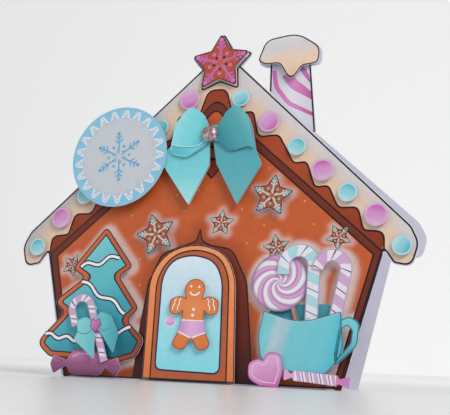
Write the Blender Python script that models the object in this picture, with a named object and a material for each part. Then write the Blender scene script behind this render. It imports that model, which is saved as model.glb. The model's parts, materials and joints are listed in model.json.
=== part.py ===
"""Shaped greeting card in the form of a candy house, with raised paper pieces.

Lengths are written in millimetres in the outlines and turned to metres by MM.
In the panel frame u runs right along the foot, v runs up the panel, and the
printed face lies at depth 0 with depths growing towards the back.
"""

import math

import bmesh
import bpy
from mathutils import Matrix, Vector

MM = 0.001

LEAN = math.radians(5.0)              # front panel leans back from upright
FLARE = math.radians(14.9)            # walls spread outwards as they rise
OPENING = math.radians(15.5)          # angle between the panels at rest

FOOT_HALF = 68.5                      # half the width of the house at its foot
WALL_TOP = 61.5                       # where the icing meets the wall
TIP_U = 100.5                         # half width at the ends of the roof
TIP_V = 69.0
APEX_U = 2.0
APEX_V = 166.5

BOARD = 0.6                           # front panel, printed card on a backing
CARD = 0.3                            # cut pieces
PAD_GAP = 0.25                        # glue line under each foam pad
PAD_BITE = 0.15                       # how deep a pad joins its piece
PAD_SIDES = 12
ARC_STEPS = 4

FOLD_DEPTH = 1.0                      # fold line behind the printed face
FOLD_FOOT = Vector((-69.5, FOLD_DEPTH, 0.0))
INSERT_DEPTH = 1.35
INSERT_CARD = 0.2
INSERT_TOP = 84.0
BACK_DEPTH = 1.85
BACK_CARD = 0.4
BACK_TURN = math.radians(3.55)        # the back panel is glued on slightly turned
BACK_SHIFT = (7.2, 6.4)               # and aside, its foot cut to reach the table
HINGE_GAP = 0.4                       # from the fold line to the sheets hung on it
EAVE_GAP = 2.0                        # where the back passes the eaves as it opens
EAVE_FOOT = 56.0

STAR_CENTRE = (1.7, 158.0)
STAR_OUTER = 15.4
STAR_INNER = 8.9
PINK_RADIUS = 5.3
BLUE_RADIUS = 4.4

# Candies down each side of the roof: centre u, centre v, radius
CANDIES = {
    "candy_right_1": (13.9, 138.4, BLUE_RADIUS),
    "candy_right_2": (29.2, 125.1, PINK_RADIUS),
    "candy_right_3": (43.9, 111.6, BLUE_RADIUS),
    "candy_right_4": (56.8, 99.4, PINK_RADIUS),
    "candy_right_5": (69.0, 88.2, BLUE_RADIUS),
    "candy_right_6": (82.3, 77.4, PINK_RADIUS),
    "candy_right_7": (93.9, 63.3, BLUE_RADIUS),
    "candy_left_1": (-13.4, 139.4, PINK_RADIUS),
    "candy_left_2": (-28.3, 125.3, BLUE_RADIUS),
    "candy_left_3": (-47.2, 106.0, PINK_RADIUS),
    "candy_left_4": (-67.3, 90.6, BLUE_RADIUS),
    "candy_left_5": (-79.6, 79.2, PINK_RADIUS),
    "candy_left_6": (-91.4, 64.0, BLUE_RADIUS),
}

COLOURS = {
    "wall": (0.52, 0.09, 0.025),
    "paper": (0.62, 0.60, 0.70),
    "pink": (0.60, 0.20, 0.45),
    "blue": (0.18, 0.55, 0.62),
    "rust": (0.50, 0.11, 0.03),
    "icing": (0.78, 0.72, 0.68),
    "tag": (0.30, 0.55, 0.74),
    "bow": (0.14, 0.58, 0.68),
    "gem": (0.35, 0.20, 0.20),
    "door": (0.82, 0.33, 0.12),
    "biscuit": (0.72, 0.25, 0.07),
    "tree": (0.07, 0.38, 0.48),
    "sweet": (0.48, 0.15, 0.33),
    "mug": (0.13, 0.56, 0.66),
}


def rounded(corners):
    """Points of an outline whose corners (u, v, radius) are turned to arcs."""
    points = []
    count = len(corners)
    for index, (u, v, radius) in enumerate(corners):
        here = Vector((u, v))
        if radius <= 0.0:
            points.append(here)
            continue
        before = Vector(corners[index - 1][:2]) - here
        after = Vector(corners[(index + 1) % count][:2]) - here
        half = before.angle(after) / 2.0
        reach = min(radius / math.tan(half), 0.49 * before.length, 0.49 * after.length)
        start = here + before.normalized() * reach
        end = here + after.normalized() * reach
        for step in range(ARC_STEPS + 1):
            share = step / ARC_STEPS
            first = start.lerp(here, share)
            second = here.lerp(end, share)
            points.append(first.lerp(second, share))
    return points


def circle(centre, radius, sides=24):
    """Points of a circle, anticlockwise."""
    points = []
    for index in range(sides):
        angle = math.tau * index / sides
        points.append(Vector(centre) + radius * Vector((math.cos(angle), math.sin(angle))))
    return points


def star(centre, outer, inner, turn=0.0):
    """Corners of a five-pointed star with soft tips."""
    corners = []
    for index in range(10):
        angle = math.radians(90.0 + turn + 36.0 * index)
        radius = outer * 1.08 if index % 2 == 0 else inner
        softness = 1.6 if index % 2 == 0 else 1.0
        u = centre[0] + radius * math.cos(angle)
        v = centre[1] + radius * math.sin(angle)
        corners.append((u, v, softness * outer / 15.0))
    return corners


def hook(foot, shoulder, radius, drop, width):
    """Outline of a cane: a shaft, a half circle over to the left and a short end."""
    shaft = (Vector(shoulder) - Vector(foot)).normalized()
    left = Vector((-shaft.y, shaft.x))
    centre = Vector(shoulder) + left * radius
    line = [(Vector(foot), left)]
    steps = 12
    for step in range(steps + 1):
        angle = math.pi * step / steps
        out = -left * math.cos(angle) + shaft * math.sin(angle)
        line.append((centre + out * radius, -out))
    end = centre + left * radius - shaft * drop
    line.append((end, -left))
    outer = [point - side * width / 2.0 for point, side in line]
    inner = [point + side * width / 2.0 for point, side in line]
    return outer + inner[::-1]


def roof_side(sign):
    """Corners of one end of the roof, from the wall up to the slope."""
    wall_u = sign * (FOOT_HALF + WALL_TOP * math.tan(FLARE) + 1.0)
    return [
        (wall_u, WALL_TOP, 0.8),
        (sign * 90.0, 55.4, 3.5),
        (sign * 98.4, 53.8, 5.5),
        (sign * (TIP_U + 1.2), TIP_V - 4.2, 9.0),
        (sign * (TIP_U - 2.5), TIP_V + 3.6, 9.0),
    ]


def house(with_top):
    """Corners of the house outline, anticlockwise from the left foot."""
    corners = [(-FOOT_HALF, 0.0, 0.0), (FOOT_HALF, 0.0, 0.0)]
    corners += roof_side(1.0)
    if with_top:
        corners += chimney_corners()
        corners += star_shoulders()
    else:
        corners.append((APEX_U, APEX_V, 2.0))
    corners += roof_side(-1.0)[::-1]
    return corners


def slope_v(u):
    """Height of the right roof slope at u."""
    tip_u = TIP_U - 2.5
    tip_v = TIP_V + 3.6
    return APEX_V + (u - APEX_U) * (tip_v - APEX_V) / (tip_u - APEX_U)


def chimney_corners():
    """Corners of the chimney and its cap, where they rise past the slope."""
    return [
        (52.6, slope_v(52.6), 0.0),
        (48.2, 153.4, 0.0),
        (53.2, 153.6, 3.5),
        (54.0, 162.4, 8.0),
        (42.0, 170.8, 14.0),
        (25.0, 168.6, 7.0),
        (21.2, 156.8, 5.0),
        (25.4, 154.4, 2.0),
        (27.6, 154.2, 0.0),
        (27.9, slope_v(27.9), 0.0),
    ]


def star_shoulders():
    """Corners of the star that is printed on the panel at the peak."""
    tips = star(STAR_CENTRE, STAR_OUTER + 1.1, STAR_INNER + 1.1)
    right_low = (12.6, slope_v(12.6), 0.0)
    left_low = (-9.0, 156.0, 0.0)
    return [right_low, tips[8], tips[9], tips[0], tips[1], tips[2], left_low]


def place(points, depth):
    """Turn outline points to metres at a depth of the panel frame."""
    return [Vector((point[0] * MM, depth * MM, point[1] * MM)) for point in points]


def prism(mesh, outline, front, back):
    """Add a closed plate between two depths, its outline running anticlockwise."""
    near = [mesh.verts.new(co) for co in place(outline, front)]
    far = [mesh.verts.new(co) for co in place(outline, back)]
    mesh.faces.new(near)
    mesh.faces.new(far[::-1])
    count = len(near)
    for index in range(count):
        other = (index + 1) % count
        mesh.faces.new((near[other], near[index], far[index], far[other]))


def finish(name, mesh, parent):
    """Make an object of a bmesh and hang it on its parent."""
    bmesh.ops.recalc_face_normals(mesh, faces=mesh.faces)
    data = bpy.data.meshes.new(name)
    mesh.to_mesh(data)
    mesh.free()
    item = bpy.data.objects.new(name, data)
    bpy.context.collection.objects.link(item)
    item.parent = parent
    return item


def paint(item, colour, roughness=0.6):
    """Give an object its own Principled material."""
    material = bpy.data.materials.new(item.name)
    material.use_nodes = True
    shader = material.node_tree.nodes["Principled BSDF"]
    shader.inputs["Base Color"].default_value = (*COLOURS[colour], 1.0)
    shader.inputs["Roughness"].default_value = roughness
    shader.inputs["Metallic"].default_value = 0.0
    item.data.materials.append(material)


def combine(item, helper, operation):
    """Join a helper solid to an object, or cut it away."""
    helper.hide_render = True
    helper.display_type = "WIRE"
    change = item.modifiers.new(helper.name, "BOOLEAN")
    change.operation = operation
    change.solver = "EXACT"
    change.object = helper


def raised(name, outline, front, pads, colour, parent, floor=0.0, extra=None, hole=None):
    """A cut piece at a depth, held off the surface behind it by foam pads.

    Each pad is (u, v, radius); floor is the depth of the surface that it stands on.
    """
    mesh = bmesh.new()
    prism(mesh, outline, front, front + CARD)
    item = finish(name, mesh, parent)
    if extra:
        mesh = bmesh.new()
        prism(mesh, extra, front, front + CARD)
        combine(item, finish(name + "_extra", mesh, parent), "UNION")
    mesh = bmesh.new()
    for u, v, radius in pads:
        prism(mesh, circle((u, v), radius, PAD_SIDES), front + CARD - PAD_BITE, floor - PAD_GAP)
    combine(item, finish(name + "_pads", mesh, parent), "UNION")
    if hole:
        mesh = bmesh.new()
        prism(mesh, hole, front - 1.0, front + CARD + 1.0)
        combine(item, finish(name + "_hole", mesh, parent), "DIFFERENCE")
    paint(item, colour)
    return item


def flat_panel(name, outline, front, back, colour, parent):
    """A plain plate of card."""
    mesh = bmesh.new()
    prism(mesh, outline, front, back)
    item = finish(name, mesh, parent)
    paint(item, colour)
    return item


def candies(parent):
    """Round sweets along the icing, each on one pad."""
    for name, (u, v, radius) in CANDIES.items():
        colour = "pink" if radius == PINK_RADIUS else "blue"
        raised(name, circle((u, v), radius), -1.9, [(u, v, radius * 0.6)], colour, parent)


def bow(parent):
    """Three stacked layers with a stone on the knot."""
    knot = [(4.6, 115.6, 0.0), (4.4, 123.6, 0.0)]
    right_loop = [(8.2, 130.4, 4.0), (13.0, 134.4, 3.0), (19.4, 127.8, 8.0), (24.2, 110.4, 1.0)]
    left_loop = [(-4.0, 130.0, 4.0), (-11.2, 135.2, 5.0), (-18.6, 125.5, 8.0), (-20.4, 110.0, 4.5)]
    left_under = [(-11.0, 107.4, 6.0), (-1.6, 113.2, 2.0)]
    under = [(20.6, 112.0, 2.0), (11.4, 109.8, 6.0)]
    left_tail = [(-18.4, 117.0, 0.0), (-26.2, 107.7, 0.3), (-8.6, 84.0, 0.4), (0.6, 103.4, 4.0)]
    right_tail = [(4.6, 104.0, 4.0), (16.3, 83.6, 0.4), (27.4, 103.2, 0.3), (24.0, 110.8, 0.4)]
    middle_left = [(0.0, 116.0, 0.0)]
    whole = right_tail + [(21.6, 122.0, 6.0)] + right_loop[:3][::-1] + knot[::-1][:1]
    whole += [(-0.9, 123.8, 0.0)] + left_loop[:3] + left_tail + middle_left + knot[:1]
    loops = knot[:1] + [under[1], under[0]] + right_loop[::-1] + knot[1:]
    loops += [(-0.9, 123.8, 0.0)] + left_loop + left_under + middle_left
    full_pads = [(-9.0, 98.0, 4.0), (16.0, 98.0, 4.0), (-11.0, 122.0, 3.5), (14.0, 122.0, 3.5)]
    raised("bow_back", rounded(whole), -2.4, full_pads, "bow", parent)
    raised("bow_middle", rounded(whole), -3.7, full_pads, "bow", parent, floor=-2.4)
    loop_pads = [(-11.0, 121.0, 4.0), (14.0, 122.0, 4.0)]
    raised("bow_front", rounded(loops), -5.0, loop_pads, "bow", parent, floor=-3.7)
    gem("bow_gem", (0.4, 119.2), 4.4, -5.0, parent)


def gem(name, centre, radius, surface, parent):
    """A flat-backed stone with two rows of facets and a table."""
    sides = 12
    rows = [(1.0, 0.25, 0.0), (1.0, 0.75, 0.0), (0.78, 2.0, 0.5), (0.46, 2.75, 0.0)]
    mesh = bmesh.new()
    loops = []
    for share, rise, twist in rows:
        loop = []
        for index in range(sides):
            angle = math.tau * (index + twist) / sides
            u = centre[0] + radius * share * math.cos(angle)
            v = centre[1] + radius * share * math.sin(angle)
            loop.append(mesh.verts.new((u * MM, (surface - rise) * MM, v * MM)))
        loops.append(loop)
    base, girdle, crown, table = loops
    mesh.faces.new(base)
    mesh.faces.new(table)
    for index in range(sides):
        after = (index + 1) % sides
        mesh.faces.new((base[index], base[after], girdle[after], girdle[index]))
        mesh.faces.new((girdle[index], girdle[after], crown[index]))
        mesh.faces.new((girdle[after], crown[after], crown[index]))
        mesh.faces.new((crown[index], crown[after], table[after]))
        mesh.faces.new((crown[index], table[after], table[index]))
    paint(finish(name, mesh, parent), "gem", 0.15)


def door(parent):
    """The raised door and the biscuit figure on it."""
    frame = [(-24.8, 0.6, 0.0), (21.0, 0.6, 0.0), (18.2, 49.6, 34.0), (12.0, 60.6, 30.0)]
    frame += [(-2.2, 65.2, 40.0), (-17.4, 61.4, 30.0), (-25.8, 49.6, 34.0)]
    corners = [(-16.0, 12.0, 4.0), (13.0, 12.0, 4.0), (-14.0, 46.0, 4.0), (9.0, 46.0, 4.0)]
    raised("door", rounded(frame), -2.4, corners, "door", parent)
    axis = -0.8
    turns = [math.radians(82.0 - 16.0 * step) for step in range(8)]
    half = [(5.2 * math.cos(turn), 42.4 + 5.0 * math.sin(turn), 0.0) for turn in turns]
    half += [(4.2, 38.0, 0.4), (7.2, 39.4, 2.6), (12.6, 37.8, 3.6)]
    half += [(12.0, 30.8, 3.6), (7.6, 30.4, 2.6), (5.3, 32.4, 1.4), (5.6, 27.8, 1.0)]
    half += [(7.0, 22.2, 1.2), (10.4, 16.2, 4.0), (3.6, 13.4, 4.0), (0.9, 18.8, 1.2)]
    right = [(axis + u, v, r) for u, v, r in half]
    left = [(axis - u, v, r) for u, v, r in half]
    outline = rounded(right[::-1] + left)
    figure_pads = [(axis, 24.5, 3.2), (axis, 34.0, 3.2), (axis, 42.2, 2.6)]
    raised("gingerbread_man", outline, -4.4, figure_pads, "biscuit", parent, floor=-2.4)


def tree(parent):
    """Tree biscuit with a wrapped sweet, a cane and a bow in front of it."""
    corners = [(-52.0, 74.2, 2.5), (-69.0, 52.6, 2.6), (-61.4, 48.2, 2.0), (-77.8, 35.6, 4.0)]
    corners += [(-70.0, 31.0, 3.0), (-84.6, 15.4, 5.0), (-76.0, 8.8, 5.0), (-55.0, 8.2, 9.0)]
    corners += [(-41.0, 6.4, 9.0), (-29.0, 10.0, 5.0), (-25.4, 18.4, 4.0), (-35.4, 27.6, 3.0)]
    corners += [(-29.6, 33.2, 3.0), (-42.2, 48.8, 2.5), (-35.0, 53.6, 2.5)]
    pads = [(-52.0, 60.0, 4.0), (-50.0, 42.0, 5.0), (-62.0, 22.0, 5.0), (-38.0, 18.0, 5.0)]
    raised("tree", rounded(corners), -2.4, pads, "tree", parent)
    sweet = [(-65.2, 7.6, 0.6), (-62.0, 12.4, 3.5), (-46.4, 12.2, 3.5), (-43.8, 7.4, 0.6)]
    sweet += [(-37.6, 9.8, 1.2), (-35.8, 4.8, 1.5), (-37.6, 0.5, 1.0), (-44.0, 4.6, 0.6)]
    sweet += [(-46.6, 0.7, 3.5), (-62.4, 0.7, 3.5), (-65.2, 4.8, 0.6), (-71.8, 0.8, 1.0)]
    sweet += [(-74.0, 5.4, 1.5), (-72.8, 9.8, 1.2)]
    sweet_pads = [(-59.0, 3.6, 2.2), (-49.0, 3.6, 2.2)]
    raised("wrapped_sweet", rounded(sweet[::-1]), -3.8, sweet_pads, "sweet", parent)
    cane = hook((-44.2, 7.4), (-54.6, 34.2), 5.3, 7.0, 3.8)
    cane_pads = [(-54.0, 32.6, 1.6), (-48.0, 17.2, 1.6)]
    raised("tree_cane", cane, -5.0, cane_pads, "icing", parent, floor=-2.4)
    wings = [(-50.4, 22.4, 0.0), (-49.2, 8.0, 0.6), (-61.2, 17.2, 0.5), (-59.6, 20.6, 0.6)]
    wings += [(-60.6, 26.4, 2.5), (-55.6, 28.2, 2.5), (-51.6, 25.4, 0.8), (-48.4, 30.8, 0.8)]
    wings += [(-42.8, 29.4, 3.5), (-37.8, 20.6, 1.0), (-39.4, 11.2, 0.5), (-47.6, 21.6, 0.5)]
    wing_pads = [(-56.0, 20.4, 1.8), (-42.6, 21.6, 1.8)]
    raised("tree_bow", rounded(wings[::-1]), -6.1, wing_pads, "bow", parent, floor=-2.4)


def mug(parent):
    """Mug of sweets: lollipop, two canes, the mug, and two sweets at its foot."""
    stick = [Vector((44.6, 37.0)), Vector((47.6, 27.6)), Vector((49.4, 28.2)), Vector((46.4, 37.6))]
    lollipop_pads = [(36.0, 44.0, 4.5)]
    candy_disc = circle((39.3, 46.6), 13.4, 36)
    raised("lollipop", candy_disc, -1.7, lollipop_pads, "pink", parent, extra=stick)
    blue = hook((55.0, 26.5), (55.3, 54.0), 7.1, 4.0, 6.0)
    raised("blue_cane", blue, -2.7, [(55.2, 40.0, 1.5)], "icing", parent)
    pink = hook((65.2, 27.0), (70.0, 51.0), 6.4, 1.2, 5.5)
    raised("pink_cane", pink, -3.7, [(68.2, 42.0, 1.5)], "icing", parent)
    rim = [(68.8, 33.4, 0.4), (51.0, 27.6, 60.0), (33.6, 33.0, 0.4)]
    side_left = [(31.6, 22.0, 14.0), (33.6, 9.0, 9.0), (46.0, 6.6, 4.0)]
    side_right = [(63.0, 6.0, 0.8), (70.6, 15.0, 16.0)]
    body = rim + side_left + side_right
    handle = [(68.6, 29.6, 0.0), (72.6, 31.4, 2.5), (77.2, 28.8, 3.5), (76.4, 18.6, 6.0)]
    handle += [(66.9, 9.4, 1.0), (66.4, 15.0, 0.0)]
    opening = [(69.4, 25.4, 0.5), (71.8, 27.6, 1.4), (74.0, 25.0, 1.8), (73.4, 19.6, 3.0)]
    opening += [(67.8, 13.0, 0.3)]
    mug_pads = [(40.0, 17.0, 4.5), (57.5, 14.5, 4.5)]
    raised("mug", rounded(body), -4.9, mug_pads, "mug", parent,
           extra=rounded(handle[::-1]), hole=rounded(opening[::-1]))
    heart = [(35.2, 10.8, 0.5), (33.0, 11.6, 3.0), (28.4, 9.8, 4.5), (28.6, 2.8, 4.5)]
    heart += [(34.4, -0.2, 5.0), (42.4, -0.6, 1.6), (44.4, 6.6, 7.0), (43.2, 14.4, 5.0)]
    heart += [(36.8, 14.6, 3.0)]
    raised("heart_sweet", rounded(heart), -6.3, [(38.6, 3.4, 2.2)], "pink", parent)
    twist = [(45.0, 8.0, 0.6), (48.4, 5.4, 0.5), (49.4, 7.0, 0.8), (68.6, 5.8, 0.6)]
    twist += [(69.6, 4.2, 0.3), (74.2, 5.4, 0.5), (73.8, 0.5, 0.5), (69.0, 2.2, 0.5)]
    twist += [(68.2, 1.2, 0.6), (50.6, 2.8, 1.0), (48.4, 4.0, 0.5), (45.0, 2.6, 0.6)]
    twist_pads = [(55.6, 4.5, 1.3), (63.6, 3.9, 1.3)]
    raised("striped_sweet", rounded(twist[::-1]), -6.3, twist_pads, "pink", parent)


def top_pieces(parent):
    """Star at the peak, icing cap of the chimney, round tag and two wall stars."""
    peak = rounded(star(STAR_CENTRE, STAR_OUTER, STAR_INNER, 1.0))
    raised("peak_star", peak, -2.4, [(*STAR_CENTRE, 6.5)], "rust", parent)
    cap = [(39.2, 144.6, 4.0), (44.6, 152.6, 2.5), (52.6, 153.4, 3.5), (53.4, 162.0, 8.0)]
    cap += [(41.5, 170.4, 14.0), (25.4, 168.2, 7.0), (21.6, 157.0, 5.0), (25.6, 154.9, 2.0)]
    cap += [(33.0, 154.8, 3.0)]
    raised("chimney_cap", rounded(cap), -2.4, [(38.4, 159.0, 5.5)], "icing", parent)
    tag_pads = [(-52.0, 118.0, 3.0), (-42.0, 95.0, 5.0), (-36.0, 103.0, 4.0)]
    raised("tag", circle((-48.6, 110.1), 26.5, 48), -4.6, tag_pads, "tag", parent)
    left = rounded(star((-24.8, 69.8), 10.6, 6.1, 18.0))
    raised("wall_star_left", left, -2.2, [(-24.8, 69.8, 4.5)], "rust", parent)
    right = rounded(star((33.2, 87.6), 10.4, 6.0, -8.0))
    raised("wall_star_right", right, -2.2, [(33.2, 87.6, 4.5)], "rust", parent)


def turned_house():
    """The back panel's corners: the house outline, slightly turned and shifted."""
    corners = []
    for u, v, radius in house(False):
        from_foot = Vector((u, v)) - Vector((FOLD_FOOT.x, 0.0))
        turned = Matrix.Rotation(BACK_TURN, 2) @ from_foot
        u = turned.x + FOLD_FOOT.x + BACK_SHIFT[0]
        corners.append((u, turned.y + BACK_SHIFT[1], radius))
    return corners


def fold_side(v):
    """u of the fold line at height v."""
    return FOLD_FOOT.x - v * math.tan(FLARE)


def fold_frame(unit):
    """Frame on the fold line, its Z along the fold, in the given unit."""
    return Matrix.Translation(FOLD_FOOT * unit) @ Matrix.Rotation(-FLARE, 4, "Y")


def table_gap(corner):
    """Height over the table of a corner of the opened back panel."""
    frame = fold_frame(1.0)
    opened = frame @ Matrix.Rotation(OPENING, 4, "Z") @ frame.inverted()
    place = opened @ Vector((corner[0], BACK_DEPTH + BACK_CARD, corner[1]))
    return place.z * math.cos(LEAN) - place.y * math.sin(LEAN)


def standing_corner(foot, wall_top):
    """Where the free side of the back panel, drawn on downwards, meets the table."""
    low = table_gap(foot)
    share = low / (low - table_gap(wall_top))
    return (
        foot[0] + (wall_top[0] - foot[0]) * share,
        foot[1] + (wall_top[1] - foot[1]) * share,
        0.0,
    )


def back_outline():
    """Back panel corners right of the fold, drawn in where it passes the eaves."""
    turned = turned_house()
    apex = turned[7]
    left_tip = turned[8]
    slope = (apex[1] - left_tip[1]) / (apex[0] - left_tip[0])
    meet = (left_tip[1] + slope * (FOLD_FOOT.x - left_tip[0])) / (1.0 + slope * math.tan(FLARE))
    return [
        (fold_side(0.0) + HINGE_GAP, 0.6, 0.0),
        standing_corner(turned[1], turned[2]),
        *turned[2:8],
        (fold_side(meet) + EAVE_GAP, meet, 0.0),
        (fold_side(EAVE_FOOT) + EAVE_GAP, EAVE_FOOT, 0.0),
        (fold_side(EAVE_FOOT) + HINGE_GAP, EAVE_FOOT, 0.0),
    ]


def insert_outline():
    """Insert sheet corners, short of the back panel at its free side, foot and top."""
    foot_margin = 2.6
    fold_top = 50.0
    turned = turned_house()
    foot_u, foot_v, _ = turned[1]
    wall_u, wall_v, _ = turned[2]
    right_u = foot_u + (wall_u - foot_u) * (INSERT_TOP - foot_v) / (wall_v - foot_v) - 8.5
    left_v = INSERT_TOP - right_u * math.tan(BACK_TURN)
    return [
        (fold_side(foot_margin) + HINGE_GAP, foot_margin, 0.0),
        (foot_u - 6.0, foot_v + foot_margin, 0.0),
        (right_u, INSERT_TOP, 1.0),
        (fold_side(left_v) + 11.0, left_v, 1.0),
        (fold_side(fold_top) + 2.0 * HINGE_GAP, fold_top, 0.0),
    ]


def stand_empty(name, parent=None):
    """An empty that carries other objects."""
    empty = bpy.data.objects.new(name, None)
    bpy.context.collection.objects.link(empty)
    empty.parent = parent
    return empty


def back_half(panel):
    """Back panel and insert, hung on the fold line."""
    fold = stand_empty("fold", panel)
    frame = fold_frame(MM)
    fold.matrix_local = frame @ Matrix.Rotation(OPENING, 4, "Z")
    sheets = [
        flat_panel("back_panel", rounded(back_outline()), BACK_DEPTH,
                   BACK_DEPTH + BACK_CARD, "paper", fold),
        flat_panel("insert_sheet", rounded(insert_outline()), INSERT_DEPTH,
                   INSERT_DEPTH + INSERT_CARD, "paper", fold),
    ]
    for sheet in sheets:
        sheet.data.transform(frame.inverted())


def rest_on_floor(stand):
    """Shift the whole so that its box stands centred on the origin."""
    bpy.context.view_layer.update()
    graph = bpy.context.evaluated_depsgraph_get()
    places = []
    for item in bpy.context.scene.objects:
        if item.type == "MESH" and not item.hide_render:
            shown = item.evaluated_get(graph)
            places += [item.matrix_world @ vertex.co for vertex in shown.data.vertices]
    low = Vector([min(co[axis] for co in places) for axis in range(3)])
    high = Vector([max(co[axis] for co in places) for axis in range(3)])
    stand.location = (-(low.x + high.x) / 2.0, -(low.y + high.y) / 2.0, -low.z)
    bpy.context.view_layer.update()


def main():
    for item in list(bpy.data.objects):
        bpy.data.objects.remove(item)
    stand = stand_empty("stand")
    panel = stand_empty("panel", stand)
    panel.rotation_euler = (-LEAN, 0.0, 0.0)
    flat_panel("front_panel", rounded(house(True)), 0.0, BOARD, "wall", panel)
    candies(panel)
    top_pieces(panel)
    bow(panel)
    door(panel)
    tree(panel)
    mug(panel)
    back_half(panel)
    rest_on_floor(stand)


main()
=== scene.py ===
import json
import math

import bpy
import numpy as np
from bpy.props import FloatProperty, FloatVectorProperty, IntProperty, PointerProperty
from mathutils import Matrix, Vector


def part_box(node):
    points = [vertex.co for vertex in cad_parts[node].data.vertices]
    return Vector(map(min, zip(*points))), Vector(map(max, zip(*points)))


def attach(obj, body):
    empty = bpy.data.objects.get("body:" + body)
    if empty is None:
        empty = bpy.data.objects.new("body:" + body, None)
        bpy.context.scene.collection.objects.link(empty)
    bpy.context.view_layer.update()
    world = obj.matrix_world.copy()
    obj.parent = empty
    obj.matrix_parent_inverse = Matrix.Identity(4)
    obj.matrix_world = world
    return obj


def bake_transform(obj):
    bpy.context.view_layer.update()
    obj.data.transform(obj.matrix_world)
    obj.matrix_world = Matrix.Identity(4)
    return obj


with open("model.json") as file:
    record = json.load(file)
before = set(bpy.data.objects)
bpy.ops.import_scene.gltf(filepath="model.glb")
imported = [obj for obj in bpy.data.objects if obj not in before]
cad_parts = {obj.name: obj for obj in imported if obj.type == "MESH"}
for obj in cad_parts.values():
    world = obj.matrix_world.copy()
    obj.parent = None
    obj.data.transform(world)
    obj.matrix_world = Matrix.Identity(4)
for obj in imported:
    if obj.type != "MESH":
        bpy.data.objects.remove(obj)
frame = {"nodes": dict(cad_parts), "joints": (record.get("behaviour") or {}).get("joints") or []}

bl_info = {
    "name": "Candy house card",
    "version": (1, 0, 0),
    "blender": (4, 5, 0),
    "location": "View3D > Sidebar > Candy house",
    "description": "Printed paper pieces, fold, stage and camera of a shaped greeting card",
    "category": "Object",
}

# The printed face is drawn flat in millimetres: x runs right along the foot, y up
# the panel and z out of the paper. One matrix stands the drawing up on the card.
MM = 0.001
FOLD_AT = Vector(frame["joints"][0]["pos_m"])
FOLD_AXIS = Vector(frame["joints"][0]["axis"]).normalized()
LEAN = math.atan2(FOLD_AXIS.y, FOLD_AXIS.z)
FLARE = math.asin(-FOLD_AXIS.x)
FOLD_FOOT = Vector((-69.5, 1.0, 0.0))
UPRIGHT = Matrix.Rotation(-LEAN, 4, "X")
STAND = FOLD_AT - UPRIGHT @ (FOLD_FOOT * MM)
DRAWING = Matrix.Translation(STAND) @ UPRIGHT @ Matrix.Rotation(math.radians(90), 4, "X")
DRAWING = DRAWING @ Matrix.Scale(MM, 4)

FOOT_HALF = 68.5
WALL_TOP = 61.5
TIP_U = 100.5
TIP_V = 69.0
APEX = (2.0, 166.5)
ROOF_AXIS = 0.6
HOUSE_HIGH = (101.0, 167.0)

# The fold strip, and the view that was fitted to the photograph
FOLD_HEIGHT = 55.0
FOLD_START = 0.9
FOLD_CARD = 0.2
CAMERA_AT = Vector((153.60, -365.50, -22.87))
CAMERA_YAW = 0.37604
CAMERA_PITCH = 0.26316
CAMERA_ROLL = -0.07636
SENSOR_WIDTH = 36.0
FOCAL_PX = 850.0
PHOTO_WIDTH_PX = 450.0
LAMP_AIM = Vector((0.0, 0.0, 0.08))

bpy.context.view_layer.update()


def srgb(red, green, blue):
    """Linear colour of an ink given as display values from 0 to 255."""
    linear = []
    for value in (red, green, blue):
        share = value / 255.0
        if share <= 0.04045:
            linear.append(share / 12.92)
        else:
            linear.append(((share + 0.055) / 1.055) ** 2.4)
    return tuple(linear)


def ink_property(name, text, colour):
    """A colour property with its printed default."""
    return FloatVectorProperty(
        name=name, description=text, subtype="COLOR", size=3, min=0.0, max=1.0, default=colour
    )


class CandyHouseInks(bpy.types.PropertyGroup):
    """Printed colours that a user would change."""

    wall: ink_property("Wall", "Gingerbread wall", srgb(196, 92, 44))
    beam: ink_property("Beam", "Dark gingerbread beams", srgb(112, 40, 18))
    line: ink_property("Line", "Drawn outlines", srgb(34, 14, 24))
    icing: ink_property("Icing", "Cool outer icing", srgb(213, 207, 208))
    icing_warm: ink_property("Warm icing", "Icing near its lower edge", srgb(232, 204, 180))
    turquoise: ink_property("Turquoise", "Bow and mug", srgb(120, 209, 218))
    pink: ink_property("Pink", "Heart sweet", srgb(214, 144, 196))
    door: ink_property("Door", "Door frame", srgb(238, 140, 82))
    biscuit: ink_property("Biscuit", "Gingerbread figure", srgb(224, 126, 66))
    paper: ink_property("Paper", "Bare card", srgb(214, 213, 228))


class CandyHouseSizes(bpy.types.PropertyGroup):
    """Print sizes that a user would change."""

    line_width: FloatProperty(
        name="Line width", description="Width of the drawn outlines", default=0.75 * MM,
        min=0.2 * MM, max=2.0 * MM, unit="LENGTH", precision=5,
    )
    margin: FloatProperty(
        name="White margin", description="Bare paper left outside the outline",
        default=0.45 * MM, min=0.0, max=2.0 * MM, unit="LENGTH", precision=5,
    )
    ink_step: FloatProperty(
        name="Ink step", description="Height of one printed layer over the last",
        default=0.02 * MM, min=0.005 * MM, max=0.1 * MM, unit="LENGTH", precision=6,
    )
    arc_steps: IntProperty(
        name="Arc steps", description="Segments in each rounded corner", default=7, min=2, max=24
    )


def inks():
    return bpy.context.scene.candy_house_inks


def sizes():
    return bpy.context.scene.candy_house_sizes


# Outlines

def rounded(corners, closed=True, steps=0):
    """Points of a line whose corners (u, v, radius) are turned to arcs."""
    steps = steps or sizes().arc_steps
    points = []
    count = len(corners)
    for index, corner in enumerate(corners):
        here = Vector(corner[:2])
        radius = corner[2] if len(corner) > 2 else 0.0
        is_end = not closed and index in (0, count - 1)
        if radius <= 0.0 or is_end:
            points.append(here)
            continue
        before = Vector(corners[index - 1][:2]) - here
        after = Vector(corners[(index + 1) % count][:2]) - here
        half = before.angle(after) / 2.0
        reach = min(radius / math.tan(half), 0.49 * before.length, 0.49 * after.length)
        start = here + before.normalized() * reach
        end = here + after.normalized() * reach
        for step in range(steps + 1):
            share = step / steps
            points.append(start.lerp(here, share).lerp(here.lerp(end, share), share))
    return points


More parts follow.
